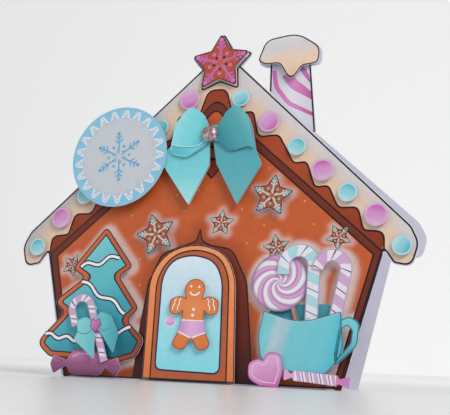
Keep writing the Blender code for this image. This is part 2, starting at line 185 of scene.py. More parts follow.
def circle(centre, radius, sides=40):
    """Points of a circle."""
    turns = [math.tau * index / sides for index in range(sides)]
    return [Vector(centre) + radius * Vector((math.cos(a), math.sin(a))) for a in turns]


def star(centre, outer, inner, turn=0.0):
    """Corners of a five-pointed star with soft tips."""
    corners = []
    for index in range(10):
        angle = math.radians(90.0 + turn + 36.0 * index)
        radius = outer * 1.08 if index % 2 == 0 else inner
        softness = 1.6 if index % 2 == 0 else 1.0
        u = centre[0] + radius * math.cos(angle)
        v = centre[1] + radius * math.sin(angle)
        corners.append((u, v, softness * outer / 15.0))
    return corners


def mirrored(corners, axis=0.0):
    """Corners on both sides of an upright axis, from right foot over to left foot."""
    return corners + [(2 * axis - c[0], *c[1:]) for c in corners[::-1]]


def aside(corners, distance, closed=False):
    """A line's corners moved to its left by a distance, their radii kept concentric."""
    count = len(corners)
    moved = []
    for index, corner in enumerate(corners):
        here = Vector(corner[:2])
        radius = corner[2] if len(corner) > 2 else 0.0
        ways = []
        if closed or index > 0:
            ways.append(here - Vector(corners[index - 1][:2]))
        if closed or index < count - 1:
            ways.append(Vector(corners[(index + 1) % count][:2]) - here)
        ways = [way.normalized() for way in ways if way.length > 1e-6]
        if not ways:
            moved.append((here.x, here.y, radius))
            continue
        normals = [Vector((-way.y, way.x)) for way in ways]
        middle = (normals[0] + normals[-1]).normalized()
        stretch = distance / max(0.3, middle.dot(normals[0]))
        turn = ways[0].x * ways[-1].y - ways[0].y * ways[-1].x
        if radius > 0.0:
            radius = max(0.05, radius - distance if turn > 0.0 else radius + distance)
        moved.append((here.x + middle.x * stretch, here.y + middle.y * stretch, radius))
    return moved


def signed_area(points):
    """Area of a closed line, positive when it runs anticlockwise."""
    total = 0.0
    for index, here in enumerate(points):
        there = points[(index + 1) % len(points)]
        total += here[0] * there[1] - there[0] * here[1]
    return total / 2.0


def inset(corners, distance):
    """A closed outline drawn inwards by a distance."""
    inward = distance if signed_area(corners) > 0 else -distance
    return rounded(aside(corners, inward, closed=True))


def ring(corners, outer, inner):
    """The band between two insets of one outline."""
    return [inset(corners, outer), inset(corners, inner)]


def ribbon(corners, width):
    """A line given a width, as one closed outline."""
    left = rounded(aside(corners, width / 2.0), closed=False)
    right = rounded(aside(corners, -width / 2.0), closed=False)
    return left + right[::-1]


def along(points, distance):
    """Place and left-hand normal at a distance along a line."""
    walked = 0.0
    for here, there in zip(points, points[1:]):
        length = (there - here).length
        if length > 1e-9 and walked + length >= distance:
            side = (there - here) / length
            share = max(0.0, distance - walked)
            return here + side * share, Vector((-side.y, side.x))
        walked += length
    side = (points[-1] - points[-2]).normalized()
    return points[-1].copy(), Vector((-side.y, side.x))


def line_length(points):
    return sum((b - a).length for a, b in zip(points, points[1:]))


def band(points, start, end, half_width, slant):
    """A slanted stripe across a cane or a stick, between two distances along it."""
    reach = line_length(points)
    left = []
    right = []
    for step in range(5):
        share = step / 4.0
        distance = start + (end - start) * share
        place, normal = along(points, min(max(distance + slant, 0.0), reach))
        left.append(place + normal * half_width)
        place, normal = along(points, min(max(distance - slant, 0.0), reach))
        right.append(place - normal * half_width)
    return left + right[::-1]


def hook_line(foot, shoulder, radius, drop, steps=24):
    """Centre line of a cane: a shaft, a half circle to the left and a short end."""
    shaft = (Vector(shoulder) - Vector(foot)).normalized()
    left = Vector((-shaft.y, shaft.x))
    centre = Vector(shoulder) + left * radius
    line = [Vector(foot)]
    for step in range(steps + 1):
        angle = math.pi * step / steps
        line.append(centre + (shaft * math.sin(angle) - left * math.cos(angle)) * radius)
    line.append(centre + left * radius - shaft * drop)
    return line


def wavy(start, end, swing, waves, steps=10):
    """A piped wavy line between two places."""
    start = Vector(start)
    end = Vector(end)
    side = (end - start).normalized()
    normal = Vector((-side.y, side.x))
    points = []
    count = int(waves * steps)
    for step in range(count + 1):
        share = step / count
        points.append(start.lerp(end, share) + normal * swing * math.sin(math.tau * waves * share))
    return points


# House outline, as the card is cut

def roof_side(sign):
    wall_u = sign * (FOOT_HALF + WALL_TOP * math.tan(FLARE) + 1.0)
    return [
        (wall_u, WALL_TOP, 0.8),
        (sign * 90.0, 55.4, 3.5),
        (sign * 98.4, 53.8, 5.5),
        (sign * (TIP_U + 1.2), TIP_V - 4.2, 9.0),
        (sign * (TIP_U - 2.5), TIP_V + 3.6, 9.0),
    ]


def slope_v(u):
    """Height of the right roof slope at u."""
    tip_u = TIP_U - 2.5
    tip_v = TIP_V + 3.6
    return APEX[1] + (u - APEX[0]) * (tip_v - APEX[1]) / (tip_u - APEX[0])


def house_corners():
    """Corners of the plain house, without star and chimney."""
    corners = [(-FOOT_HALF, 0.0, 0.0), (FOOT_HALF, 0.0, 0.0)]
    corners += roof_side(1.0)
    corners.append((*APEX, 2.0))
    corners += roof_side(-1.0)[::-1]
    return corners


WAVE_RIGHT = [
    (85.9, 61.0, 0.0), (85.7, 70.0, 4.0), (76.4, 70.8, 2.5), (73.6, 81.6, 3.5),
    (64.5, 81.4, 4.0), (59.6, 92.2, 3.0), (53.0, 91.6, 3.0), (48.6, 104.4, 3.0),
    (42.2, 103.8, 3.0), (34.2, 118.6, 4.0), (23.6, 118.0, 4.0), (20.4, 131.5, 3.0),
    (9.4, 131.0, 4.0), (5.4, 144.4, 5.0),
]
BEAM_RIGHT = [(66.9, 0.0, 0.0), (83.3, 60.2, 1.0), (9.4, 126.6, 3.0), (0.8, 138.0, 6.0)]
BEAM_WIDTH = 3.5
SURROUND = [
    (28.6, 0.5, 0.0), (25.8, 24.0, 30.0), (22.8, 47.0, 14.0), (14.6, 62.4, 8.0),
    (3.4, 64.4, 5.0), (-1.2, 66.6, 3.5), (-2.5, 72.6, 0.2), (-3.9, 66.6, 3.5),
    (-9.4, 64.6, 5.0), (-21.5, 60.5, 8.0),
    (-27.2, 46.0, 14.0), (-29.4, 24.0, 30.0), (-30.6, 0.5, 0.0),
]
TREE = [
    (-52.0, 74.2, 2.5), (-69.0, 52.6, 2.6), (-61.4, 48.2, 2.0), (-77.8, 35.6, 4.0),
    (-70.0, 31.0, 3.0), (-84.6, 15.4, 5.0), (-76.0, 8.8, 5.0), (-55.0, 8.2, 9.0),
    (-41.0, 6.4, 9.0), (-29.0, 10.0, 5.0), (-25.4, 18.4, 4.0), (-35.4, 27.6, 3.0),
    (-29.6, 33.2, 3.0), (-42.2, 48.8, 2.5), (-35.0, 53.6, 2.5),
]
MUG = [
    (68.8, 33.4, 0.4), (51.0, 27.6, 60.0), (33.6, 33.0, 0.4), (31.6, 22.0, 14.0),
    (33.6, 9.0, 9.0), (46.0, 6.6, 4.0), (63.0, 6.0, 0.8), (70.6, 15.0, 16.0),
]
HANDLE = [
    (68.6, 29.6, 0.0), (72.6, 31.4, 2.5), (77.2, 28.8, 3.5), (76.4, 18.6, 6.0),
    (66.9, 9.4, 1.0), (66.4, 15.0, 0.0),
]
HANDLE_HOLE = [
    (69.4, 25.4, 0.5), (71.8, 27.6, 1.4), (74.0, 25.0, 1.8), (73.4, 19.6, 3.0),
    (67.8, 13.0, 0.3),
]
HEART = [
    (35.2, 10.8, 0.5), (33.0, 11.6, 3.0), (28.4, 9.8, 4.5), (28.6, 2.8, 4.5), (34.4, -0.2, 5.0),
    (42.4, -0.6, 1.6), (44.4, 6.6, 7.0), (43.2, 14.4, 5.0), (36.8, 14.6, 3.0),
]
CAP = [
    (39.2, 144.6, 4.0), (44.6, 152.6, 2.5), (52.6, 153.4, 3.5), (53.4, 162.0, 8.0),
    (41.5, 170.4, 14.0), (25.4, 168.2, 7.0), (21.6, 157.0, 5.0), (25.6, 154.9, 2.0),
    (33.0, 154.8, 3.0),
]
DOOR = [
    (-24.8, 0.6, 0.0), (21.0, 0.6, 0.0), (18.2, 49.6, 34.0), (12.0, 60.6, 30.0),
    (-2.2, 65.2, 40.0), (-17.4, 61.4, 30.0), (-25.8, 49.6, 34.0),
]
RAISED_STARS = {
    "wall_star_left": ((-24.8, 69.8), 10.6, 6.1, 18.0),
    "wall_star_right": ((33.2, 87.6), 10.4, 6.0, -8.0),
}
PEAK_STAR = ((1.7, 158.0), 15.4, 8.9)
PEAK_STAR_MARGIN = 1.1
FLAT_STARS = [
    ((8.0, 75.4), 6.9, 3.7, -4.0), ((36.3, 63.0), 6.9, 3.7, 10.0),
    ((65.4, 67.8), 6.4, 3.5, 30.0), ((-70.6, 54.8), 6.2, 3.4, -22.0),
]
# A cane's foot, its shoulder, the radius of its hook and the hook's short end
BLUE_CANE = ((55.0, 26.5), (55.3, 54.0), 7.1, 4.0)
PINK_CANE = ((65.2, 27.0), (70.0, 51.0), 6.4, 1.2)
TREE_CANE = ((-44.2, 7.4), (-54.6, 34.2), 5.3, 7.0)
LOLLIPOP = (39.3, 46.6)
LOLLIPOP_RADIUS = 13.4
TAG = Vector((-48.6, 110.1))
TAG_SCALLOPS = 21

# Inks that more than one piece is printed with, as display values
SHARED_INKS = {
    "cane_white": (232, 228, 236), "cane_edge": (176, 160, 186), "cane_pink": (206, 168, 206),
    "cane_magenta": (150, 56, 120), "cane_teal": (172, 216, 225), "cane_deep_teal": (64, 160, 184),
    "white_piping": (244, 238, 236), "bow_crease_dark": (70, 162, 176), "plum_line": (130, 60, 110),
}


# Materials

def new_material(name):
    """An empty node material with a Principled surface."""
    material = bpy.data.materials.new(name)
    material.use_nodes = True
    nodes = material.node_tree.nodes
    shader = nodes["Principled BSDF"]
    return material, material.node_tree, shader


def paper_grain():
    """Node group: soft mottling of ink on card, and the card's own tooth."""
    group = bpy.data.node_groups.get("card_grain")
    if group:
        return group
    group = bpy.data.node_groups.new("card_grain", "ShaderNodeTree")
    group.interface.new_socket("Color", in_out="INPUT", socket_type="NodeSocketColor")
    group.interface.new_socket("Mottle", in_out="INPUT", socket_type="NodeSocketFloat")
    group.interface.new_socket("Color", in_out="OUTPUT", socket_type="NodeSocketColor")
    group.interface.new_socket("Tooth", in_out="OUTPUT", socket_type="NodeSocketFloat")
    nodes = group.nodes
    link = group.links.new
    enter = nodes.new("NodeGroupInput")
    leave = nodes.new("NodeGroupOutput")
    place = nodes.new("ShaderNodeTexCoord")
    coarse = nodes.new("ShaderNodeTexNoise")
    coarse.inputs["Scale"].default_value = 320.0
    coarse.inputs["Detail"].default_value = 4.0
    fine = nodes.new("ShaderNodeTexNoise")
    fine.inputs["Scale"].default_value = 3800.0
    fine.inputs["Detail"].default_value = 2.0
    spread = nodes.new("ShaderNodeMapRange")
    spread.inputs["From Min"].default_value = 0.3
    spread.inputs["From Max"].default_value = 0.7
    spread.inputs["To Min"].default_value = -1.0
    spread.inputs["To Max"].default_value = 1.0
    amount = nodes.new("ShaderNodeMath")
    amount.operation = "MULTIPLY_ADD"
    amount.inputs[2].default_value = 1.0
    tint = nodes.new("ShaderNodeVectorMath")
    tint.operation = "SCALE"
    link(place.outputs["Object"], coarse.inputs["Vector"])
    link(place.outputs["Object"], fine.inputs["Vector"])
    link(coarse.outputs["Fac"], spread.inputs["Value"])
    link(spread.outputs["Result"], amount.inputs[0])
    link(enter.outputs["Mottle"], amount.inputs[1])
    link(enter.outputs["Color"], tint.inputs[0])
    link(amount.outputs[0], tint.inputs["Scale"])
    link(tint.outputs["Vector"], leave.inputs["Color"])
    link(fine.outputs["Fac"], leave.inputs["Tooth"])
    return group


def finish_paper(tree, shader, colour_socket, mottle, roughness, tooth=0.06):
    """Send a colour through the card grain to the surface, with a fine bump."""
    grain = tree.nodes.new("ShaderNodeGroup")
    grain.node_tree = paper_grain()
    grain.inputs["Mottle"].default_value = mottle
    if isinstance(colour_socket, tuple):
        grain.inputs["Color"].default_value = (*colour_socket, 1.0)
    else:
        tree.links.new(colour_socket, grain.inputs["Color"])
    tree.links.new(grain.outputs["Color"], shader.inputs["Base Color"])
    bump = tree.nodes.new("ShaderNodeBump")
    bump.inputs["Strength"].default_value = tooth
    bump.inputs["Distance"].default_value = 0.05 * MM
    tree.links.new(grain.outputs["Tooth"], bump.inputs["Height"])
    tree.links.new(bump.outputs["Normal"], shader.inputs["Normal"])
    shader.inputs["Roughness"].default_value = roughness
    shader.inputs["Specular IOR Level"].default_value = 0.35


def plain_ink(name, colour, mottle=0.03, roughness=0.5):
    """One printed colour."""
    known = bpy.data.materials.get(name)
    if known:
        return known
    material, tree, shader = new_material(name)
    finish_paper(tree, shader, tuple(colour), mottle, roughness)
    return material


def shared_ink(name):
    return plain_ink(name, srgb(*SHARED_INKS[name]))


def ramp_ink(name, stops, radial=False, mottle=0.03, roughness=0.5):
    """Ink that runs through colour stops, across the print or out from its middle."""
    known = bpy.data.materials.get(name)
    if known:
        return known
    material, tree, shader = new_material(name)
    place = tree.nodes.new("ShaderNodeTexCoord")
    if radial:
        measure = tree.nodes.new("ShaderNodeVectorMath")
        measure.operation = "LENGTH"
        tree.links.new(place.outputs["UV"], measure.inputs[0])
        factor = measure.outputs["Value"]
    else:
        measure = tree.nodes.new("ShaderNodeSeparateXYZ")
        tree.links.new(place.outputs["UV"], measure.inputs[0])
        factor = measure.outputs["X"]
    ramp = colour_ramp(tree, stops)
    tree.links.new(factor, ramp.inputs["Fac"])
    finish_paper(tree, shader, ramp.outputs["Color"], mottle, roughness)
    return material


def colour_ramp(tree, stops):
    """A Color Ramp node with the given (place, colour) stops."""
    ramp = tree.nodes.new("ShaderNodeValToRGB")
    ramp.color_ramp.interpolation = "EASE"
    elements = ramp.color_ramp.elements
    while len(elements) < len(stops):
        elements.new(0.5)
    for element, (position, colour) in zip(elements, stops):
        element.position = position
        element.color = (*colour, 1.0)
    return ramp


def mixed(tree, factor, first, second, blend="MIX"):
    """Mix of two colours by a factor, each a socket or a plain colour."""
    mix = tree.nodes.new("ShaderNodeMix")
    mix.data_type = "RGBA"
    mix.blend_type = blend
    if isinstance(factor, float):
        mix.inputs["Factor"].default_value = factor
    else:
        tree.links.new(factor, mix.inputs["Factor"])
    for socket, value in ((mix.inputs[6], first), (mix.inputs[7], second)):
        if isinstance(value, tuple):
            socket.default_value = (*value, 1.0)
        else:
            tree.links.new(value, socket)
    return mix.outputs[2]


def wall_ink():
    """Gingerbread wall: airbrushed white round the motifs and dark in the corners."""
    material, tree, shader = new_material("gingerbread_wall")
    glow = tree.nodes.new("ShaderNodeAttribute")
    glow.attribute_name = "glow"
    shade = tree.nodes.new("ShaderNodeAttribute")
    shade.attribute_name = "shade"
    dark = mixed(tree, shade.outputs["Fac"], tuple(inks().wall), srgb(112, 36, 14))
    pale = mixed(tree, glow.outputs["Fac"], dark, srgb(238, 226, 222))
    finish_paper(tree, shader, pale, 0.05, 0.5)
    return material


def swirl_ink():
    """Lollipop: white and pink ropes wound into a spiral, each rounded by shading."""
    material, tree, shader = new_material("lollipop_swirl")
    link = tree.links.new
    place = tree.nodes.new("ShaderNodeTexCoord")
    length = tree.nodes.new("ShaderNodeVectorMath")
    length.operation = "LENGTH"
    link(place.outputs["UV"], length.inputs[0])
    turn = tree.nodes.new("ShaderNodeTexGradient")
    turn.gradient_type = "RADIAL"
    link(place.outputs["UV"], turn.inputs["Vector"])
    wind = tree.nodes.new("ShaderNodeMath")
    wind.operation = "POWER"
    link(length.outputs["Value"], wind.inputs[0])
    wind.inputs[1].default_value = 0.62
    scaled = tree.nodes.new("ShaderNodeMath")
    scaled.operation = "MULTIPLY_ADD"
    link(wind.outputs[0], scaled.inputs[0])
    scaled.inputs[1].default_value = -3.4
    arms = tree.nodes.new("ShaderNodeMath")
    arms.operation = "MULTIPLY"
    link(turn.outputs["Fac"], arms.inputs[0])
    arms.inputs[1].default_value = 6.0
    link(arms.outputs[0], scaled.inputs[2])
    part = tree.nodes.new("ShaderNodeMath")
    part.operation = "FRACT"
    link(scaled.outputs[0], part.inputs[0])
    white = srgb(236, 232, 238)
    stops = [
        (0.0, srgb(196, 110, 175)), (0.1, srgb(222, 176, 214)), (0.3, srgb(214, 140, 200)),
        (0.42, srgb(172, 120, 170)), (0.46, srgb(190, 188, 200)), (0.6, white), (0.84, white),
        (1.0, srgb(176, 176, 192)),
    ]
    ramp = colour_ramp(tree, stops)
    ramp.color_ramp.interpolation = "LINEAR"
    link(part.outputs[0], ramp.inputs["Fac"])
    black = (0.0, 0.0, 0.0)
    rim = colour_ramp(tree, [(0.0, black), (0.86, black), (1.0, (1.0, 1.0, 1.0))])
    link(length.outputs["Value"], rim.inputs["Fac"])
    edge = mixed(tree, rim.outputs["Color"], ramp.outputs["Color"], srgb(150, 120, 160))
    finish_paper(tree, shader, edge, 0.02, 0.5)
    return material


def bare_card(name, colour, mottle=0.02):
    """Unprinted card or paper."""
    return plain_ink(name, colour, mottle, 0.7)


def stone_glass():
    """Cut stone with a mauve foil behind it, with painted glints: pale and dark cells over its facets."""
    material, tree, shader = new_material("mauve_stone")
    shader.inputs["Metallic"].default_value = 0.75
    shader.inputs["Roughness"].default_value = 0.16
    shader.inputs["Coat Weight"].default_value = 0.8
    shader.inputs["Coat Roughness"].default_value = 0.03
    place = tree.nodes.new("ShaderNodeTexCoord")
    # Painted glints: pale and dark cells over the stone stand in for light caught by its facets.
    glint_cells = tree.nodes.new("ShaderNodeTexVoronoi")
    glint_cells.inputs["Scale"].default_value = 520.0
    tree.links.new(place.outputs["Object"], glint_cells.inputs["Vector"])
    stops = [(0.0, srgb(120, 88, 92)), (0.5, srgb(176, 146, 150)), (1.0, srgb(236, 222, 224))]
    ramp = colour_ramp(tree, stops)
    tree.links.new(glint_cells.outputs["Distance"], ramp.inputs["Fac"])
    tree.links.new(ramp.outputs["Color"], shader.inputs["Base Color"])
    return material


# Printing: flat shapes drawn as curves, made mesh and stacked by a hair's breadth

def extruded(lines, depth, closed):
    """Mesh of lines drawn as one curve and extruded; closed ones are filled flat."""
    bpy.ops.object.select_all(action="DESELECT")
    bpy.ops.curve.primitive_bezier_circle_add(radius=1.0)
    shape = bpy.context.object
    curve = shape.data
    curve.dimensions = "2D" if closed else "3D"
    curve.fill_mode = "BOTH" if closed else "FULL"
    curve.extrude = depth / 2.0
    curve.splines.clear()
    for line in lines:
        spline = curve.splines.new("POLY")
        spline.points.add(len(line) - 1)
        flat = [value for point in line for value in (point.x, point.y, 0.0, 1.0)]
        spline.points.foreach_set("co", flat)
        spline.use_cyclic_u = closed
    bpy.ops.object.convert(target="MESH")
    return shape


def patch(outlines, height, ink, uv=(0.0, 0.0, 100.0, 0.0)):
    """A printed shape: closed outlines, filled between one another, at a height in mm."""
    thickness = sizes().ink_step / MM * 0.9
    shape = extruded(outlines, thickness, True)
    bpy.ops.object.mode_set(mode="EDIT")
    bpy.ops.mesh.select_all(action="SELECT")
    bpy.ops.mesh.remove_doubles(threshold=0.0005)
    bpy.ops.object.mode_set(mode="OBJECT")
    bpy.ops.object.shade_flat()
    mesh = shape.data
    while mesh.uv_layers:
        mesh.uv_layers.remove(mesh.uv_layers[0])
    places = point_places(mesh)
    write_uv(mesh, places, uv)
    places[:, 2] += height - thickness / 2.0
    mesh.vertices.foreach_set("co", places.ravel())
    mesh.materials.append(ink)
    return shape


def write_uv(mesh, places, uv):
    """UV map of a print: measured from a centre, over a scale, along a turned axis."""
    centre_u, centre_v, scale, turn = uv
    cos = math.cos(math.radians(turn))
    sin = math.sin(math.radians(turn))
    across = (places[:, 0] - centre_u) * cos + (places[:, 1] - centre_v) * sin
    up = (places[:, 1] - centre_v) * cos - (places[:, 0] - centre_u) * sin
    corners = np.empty(len(mesh.loops), dtype=np.int32)
    mesh.loops.foreach_get("vertex_index", corners)
    layer = mesh.uv_layers.new(name="print")
    values = np.stack((across[corners], up[corners]), axis=1) / scale
    layer.data.foreach_set("uv", values.ravel())


def bind(name, prints):
    """Join prints into one piece, stand it up on the card and let it ride."""
    bpy.ops.object.select_all(action="DESELECT")
    for item in prints:
        item.select_set(True)
    bpy.context.view_layer.objects.active = prints[0]
    if len(prints) > 1:
        bpy.ops.object.join()
    piece = bpy.context.object
    piece.name = name
    piece.data.name = name
    piece.matrix_world = DRAWING
    bpy.ops.object.transform_apply(location=True, rotation=True, scale=True)
    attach(piece, "front")


def distance_to(places, outline):
    """Distance of many places from a closed outline, negative inside it."""
    near = np.full(len(places), 1e9)
    inside = np.zeros(len(places), dtype=bool)
    for index, point in enumerate(outline):
        after = outline[(index + 1) % len(outline)]
        start = np.array((point.x, point.y))
        side = np.array((after.x, after.y)) - start
        length = side @ side
        if length < 1e-12:
            continue
        to_place = places[:, :2] - start
        share = np.clip(to_place @ side / length, 0.0, 1.0)
        gap = np.linalg.norm(to_place - share[:, None] * side, axis=1)
        near = np.minimum(near, gap)
        rises = (start[1] > places[:, 1]) != (start[1] + side[1] > places[:, 1])
        if abs(side[1]) > 1e-12:
            meet = start[0] + (places[:, 1] - start[1]) * side[0] / side[1]
            inside ^= rises & (places[:, 0] < meet)
    return np.where(inside, -near, near)


def falloff(distance, full, gone):
    """1 within a distance, easing to 0 at a further one."""
    share = np.clip((gone - distance) / (gone - full), 0.0, 1.0)
    return share * share * (3.0 - 2.0 * share)


def open_distance(places, line):
    """Distance of many places from an open line."""
    near = np.full(len(places), 1e9)
    for here, there in zip(line, line[1:]):
        start = np.array((here.x, here.y))
        side = np.array((there.x, there.y)) - start
        to_place = places[:, :2] - start
        share = np.clip(to_place @ side / max(side @ side, 1e-12), 0.0, 1.0)
        near = np.minimum(near, np.linalg.norm(to_place - share[:, None] * side, axis=1))
    return near


def point_places(mesh):
    """Places of a mesh's points, one row each."""
    places = np.empty(len(mesh.vertices) * 3)
    mesh.vertices.foreach_get("co", places)
    return places.reshape(-1, 3)


def write_values(mesh, **values):
    """Named values at a mesh's points, for its material to read."""
    for name, numbers in values.items():
        layer = mesh.attributes.new(name, "FLOAT", "POINT")
        layer.data.foreach_set("value", numbers)


def slice_up(piece, step, low, high):
    """Cut a drawing into squares, so that values at its points follow soft shading."""
    bpy.ops.object.select_all(action="DESELECT")
    piece.select_set(True)
    bpy.context.view_layer.objects.active = piece
    bpy.ops.object.mode_set(mode="EDIT")
    for axis in (0, 1):
        normal = (1.0, 0.0, 0.0) if axis == 0 else (0.0, 1.0, 0.0)
        at = low[axis] + step
        while at < high[axis]:
            bpy.ops.mesh.select_all(action="SELECT")
            place = (at, 0.0, 0.0) if axis == 0 else (0.0, at, 0.0)
            bpy.ops.mesh.bisect(plane_co=place, plane_no=normal, threshold=0.00001)
            at += step
    bpy.ops.object.mode_set(mode="OBJECT")


def line_ink():
    """Ink of the drawn outlines."""
    return plain_ink("drawn_line", inks().line, 0.02, 0.45)


def width():
    """Width of the drawn outlines in the drawing's millimetres."""
    return sizes().line_width / MM


def level(front, layer):
    """Height of an ink layer over a cut piece whose face stands front mm out."""
    return front + layer * sizes().ink_step / MM


class CandyHouseFrontPrint(bpy.types.Operator):
    """Print the wall, roof icing, beams, door surround and chimney on the panel"""

    bl_idname = "candy_house.front_print"
    bl_label = "Front print"

    def execute(self, context):
        outline = house_corners()
        margin = sizes().margin / MM
        self.wall(inset(outline, margin))
        self.roof(outline, margin)
        self.beams()
        self.surround()
        self.chimney(margin)
        self.speckles()
        return {"FINISHED"}

    def wall(self, body):
        wall = patch([body], level(0, 1), wall_ink())
        slice_up(wall, 1.3, (-HOUSE_HIGH[0], 0.0), HOUSE_HIGH)
        mesh = wall.data
        places = point_places(mesh)
        glow = np.zeros(len(places))
        for centre, outer, inner, turn in [*RAISED_STARS.values(), *FLAT_STARS]:
            shape = rounded(star(centre, outer, inner, turn))
            glow = np.maximum(glow, 0.5 * falloff(distance_to(places, shape), -0.5, 3.4))
        tree = distance_to(places, rounded(TREE))
        glow = np.maximum(glow, 0.75 * falloff(tree, 0.0, 4.4))
        for shape in self.mug_shapes():
            glow = np.maximum(glow, 0.8 * falloff(distance_to(places, shape), 0.2, 4.0))
        shade = np.zeros(len(places))
        door = distance_to(places, rounded(SURROUND))
        shade = np.maximum(shade, 0.35 * falloff(door, 0.0, 9.0))
        low_left = (places[:, 0] + places[:, 1] * 0.5 + 60.0) / -60.0
        shade = np.maximum(shade, 0.45 * np.clip(low_left, 0.0, 1.0))
        foot = falloff(places[:, 1], 0.0, 26.0)
        shade = np.clip(shade + 0.35 * foot, 0.0, 1.0)
        write_values(mesh, glow=glow, shade=shade)
        bind("wall_print", [wall])

    def mug_shapes(self):
        """Outlines of the mug and of what stands in it."""
        return [
            rounded(MUG), rounded(HANDLE), circle(LOLLIPOP, LOLLIPOP_RADIUS),
            ribbon(hook_line(*BLUE_CANE), 6.0), ribbon(hook_line(*PINK_CANE), 5.5),
        ]

    def roof(self, outline, margin):
        wave = mirrored(WAVE_RIGHT, ROOF_AXIS)
        hem = [p for p in rounded(wave, closed=False) if p.y > 62.5]
        edge = [p for p in inset(outline, margin) if p.y > 50.0]
        icing = patch([edge + hem[::-1]], level(0, 4), self.icing_ink())
        slice_up(icing, 2.0, (-HOUSE_HIGH[0], 52.0), HOUSE_HIGH)
        places = point_places(icing.data)
        warm = falloff(open_distance(places, hem), 0.0, 13.0)
        low = 0.9 * falloff(places[:, 1], 56.0, 68.0)
        # Painted shade: the icing is darkened towards the left side of the card.
        dull = np.clip(-places[:, 0] / 60.0, 0.0, 1.0)
        write_values(icing.data, warm=np.maximum(warm, low), dull=dull)
        prints = [icing, patch([ribbon(wave, width() * 1.1)], level(0, 5), line_ink())]
        prints.append(patch(ring(outline, margin, margin + width()), level(0, 6), line_ink()))
        bind("roof_print", prints)

    def icing_ink(self):
        material, tree, shader = new_material("roof_icing")
        warm = tree.nodes.new("ShaderNodeAttribute")
        warm.attribute_name = "warm"
        dull = tree.nodes.new("ShaderNodeAttribute")
        dull.attribute_name = "dull"
        # Painted shade: the icing is mixed towards a darker grey on the left side.
        cool = mixed(tree, dull.outputs["Fac"], tuple(inks().icing), srgb(190, 182, 180))
        stops = [(0.0, (0.0, 0.0, 0.0)), (1.0, (0.9, 0.9, 0.9))]
        share = colour_ramp(tree, stops)
        tree.links.new(warm.outputs["Fac"], share.inputs["Fac"])
        icing = mixed(tree, share.outputs["Color"], cool, srgb(230, 198, 170))
        finish_paper(tree, shader, icing, 0.03, 0.5)
        return material

    def beams(self):
        both = mirrored(BEAM_RIGHT[:3], ROOF_AXIS)
        path = both[:3] + [BEAM_RIGHT[3]] + both[3:]
        eave_top = [Vector((96.0, 66.0)), Vector((ROOF_AXIS, 158.0)), Vector((-95.0, 66.0))]
        eave = [p for p in rounded(path, closed=False) if p.y > 50.0] + eave_top[::-1]
        eave_ink = ramp_ink("eave_gingerbread", [(0.0, srgb(134, 46, 18)), (0.5, srgb(168, 70, 30)),
                                                 (1.0, srgb(150, 56, 24))])
        prints = [patch([eave], level(0, 2), eave_ink, (0.0, 60.0, 90.0, 90.0))]
        beam_ink = plain_ink("beam_gingerbread", inks().beam, 0.08)
        prints.append(patch([ribbon(path, BEAM_WIDTH)], level(0, 3), beam_ink))
        for side in (1.0, -1.0):
            edge = aside(path, side * BEAM_WIDTH / 2.0)
            prints.append(patch([ribbon(edge, width())], level(0, 4), line_ink()))
        spade = [(3.4, 108.0, 0.5), (4.8, 102.6, 1.5), (1.0, 98.0, 0.3), (-2.9, 102.8, 1.5),
                 (-1.3, 108.0, 0.5)]
        boss = [(3.3, 114.0, 0.3), (3.3, 107.5, 0.3), (-1.4, 107.5, 0.3), (-1.4, 114.0, 0.3)]
        boss_ink = plain_ink("boss_gingerbread", srgb(170, 96, 66))
        spade_ink = plain_ink("spade_gingerbread", srgb(150, 60, 28))
        prints.append(patch([rounded(boss)], level(0, 3), boss_ink))
        prints.append(patch([rounded(spade)], level(0, 4), spade_ink))
        for shape in (boss, spade):
            edge = ring(shape, -width() / 2.0, width() / 2.0)
            prints.append(patch(edge, level(0, 5), line_ink()))
        bind("beam_print", prints)

    def surround(self):
        ink = ramp_ink("door_surround", [(0.0, srgb(58, 14, 12)), (0.35, srgb(96, 30, 16)),
                                         (0.8, srgb(124, 46, 22)), (1.0, srgb(134, 54, 28))])
        prints = [patch([rounded(SURROUND)], level(0, 2), ink, (0.0, 0.0, 70.0, 90.0))]
        prints.append(patch([ribbon(SURROUND, width())], level(0, 3), line_ink()))
        bind("door_surround_print", prints)

    def chimney(self, margin):
        stack = [(51.6, slope_v(51.6) + 1.0, 0.0), (47.6, 156.0, 0.0), (28.2, 156.0, 0.0),
                 (28.6, slope_v(28.6) + 1.0, 0.0)]
        across = (28.0, 140.0, 24.0, 0.0)
        white = ramp_ink("chimney_icing", [(0.0, srgb(196, 196, 210)), (0.5, srgb(224, 222, 232)),
                                           (1.0, srgb(206, 204, 216))])
        prints = [patch([rounded(stack)], level(0, 7), white, across)]
        stripe_ink = ramp_ink("chimney_stripe", [(0.0, srgb(196, 96, 168)), (0.5, srgb(214, 136, 192)),
                                                 (1.0, srgb(178, 78, 152))])
        stripes = (
            ([(43.4, 153.0), (46.2, 148.6, 4.0), (50.7, 144.6)], 2.4),
            ([(36.0, 150.0), (40.6, 143.6, 9.0), (52.0, 137.6)], 4.8),
            ([(29.8, 152.4), (31.4, 143.4, 9.0), (38.4, 134.0, 12.0), (52.4, 128.0)], 2.2),
        )
        for line, breadth in stripes:
            stripe = ribbon(line, breadth)
            stripe = [Vector((min(p.x, self.chimney_right(p.y)), p.y)) for p in stripe]
            prints.append(patch([stripe], level(0, 8), stripe_ink, across))
        edge = ribbon([Vector(stack[0][:2]), Vector(stack[1][:2])], width())
        other = ribbon([Vector(stack[2][:2]), Vector(stack[3][:2])], width())
        prints.append(patch([edge, other], level(0, 9), line_ink()))
        bind("chimney_print", prints)
        self.cap()

    def chimney_right(self, v):
        """Right side of the leaning chimney at height v, where its stripes end."""
        return 51.4 - 0.108 * (v - 119.0)

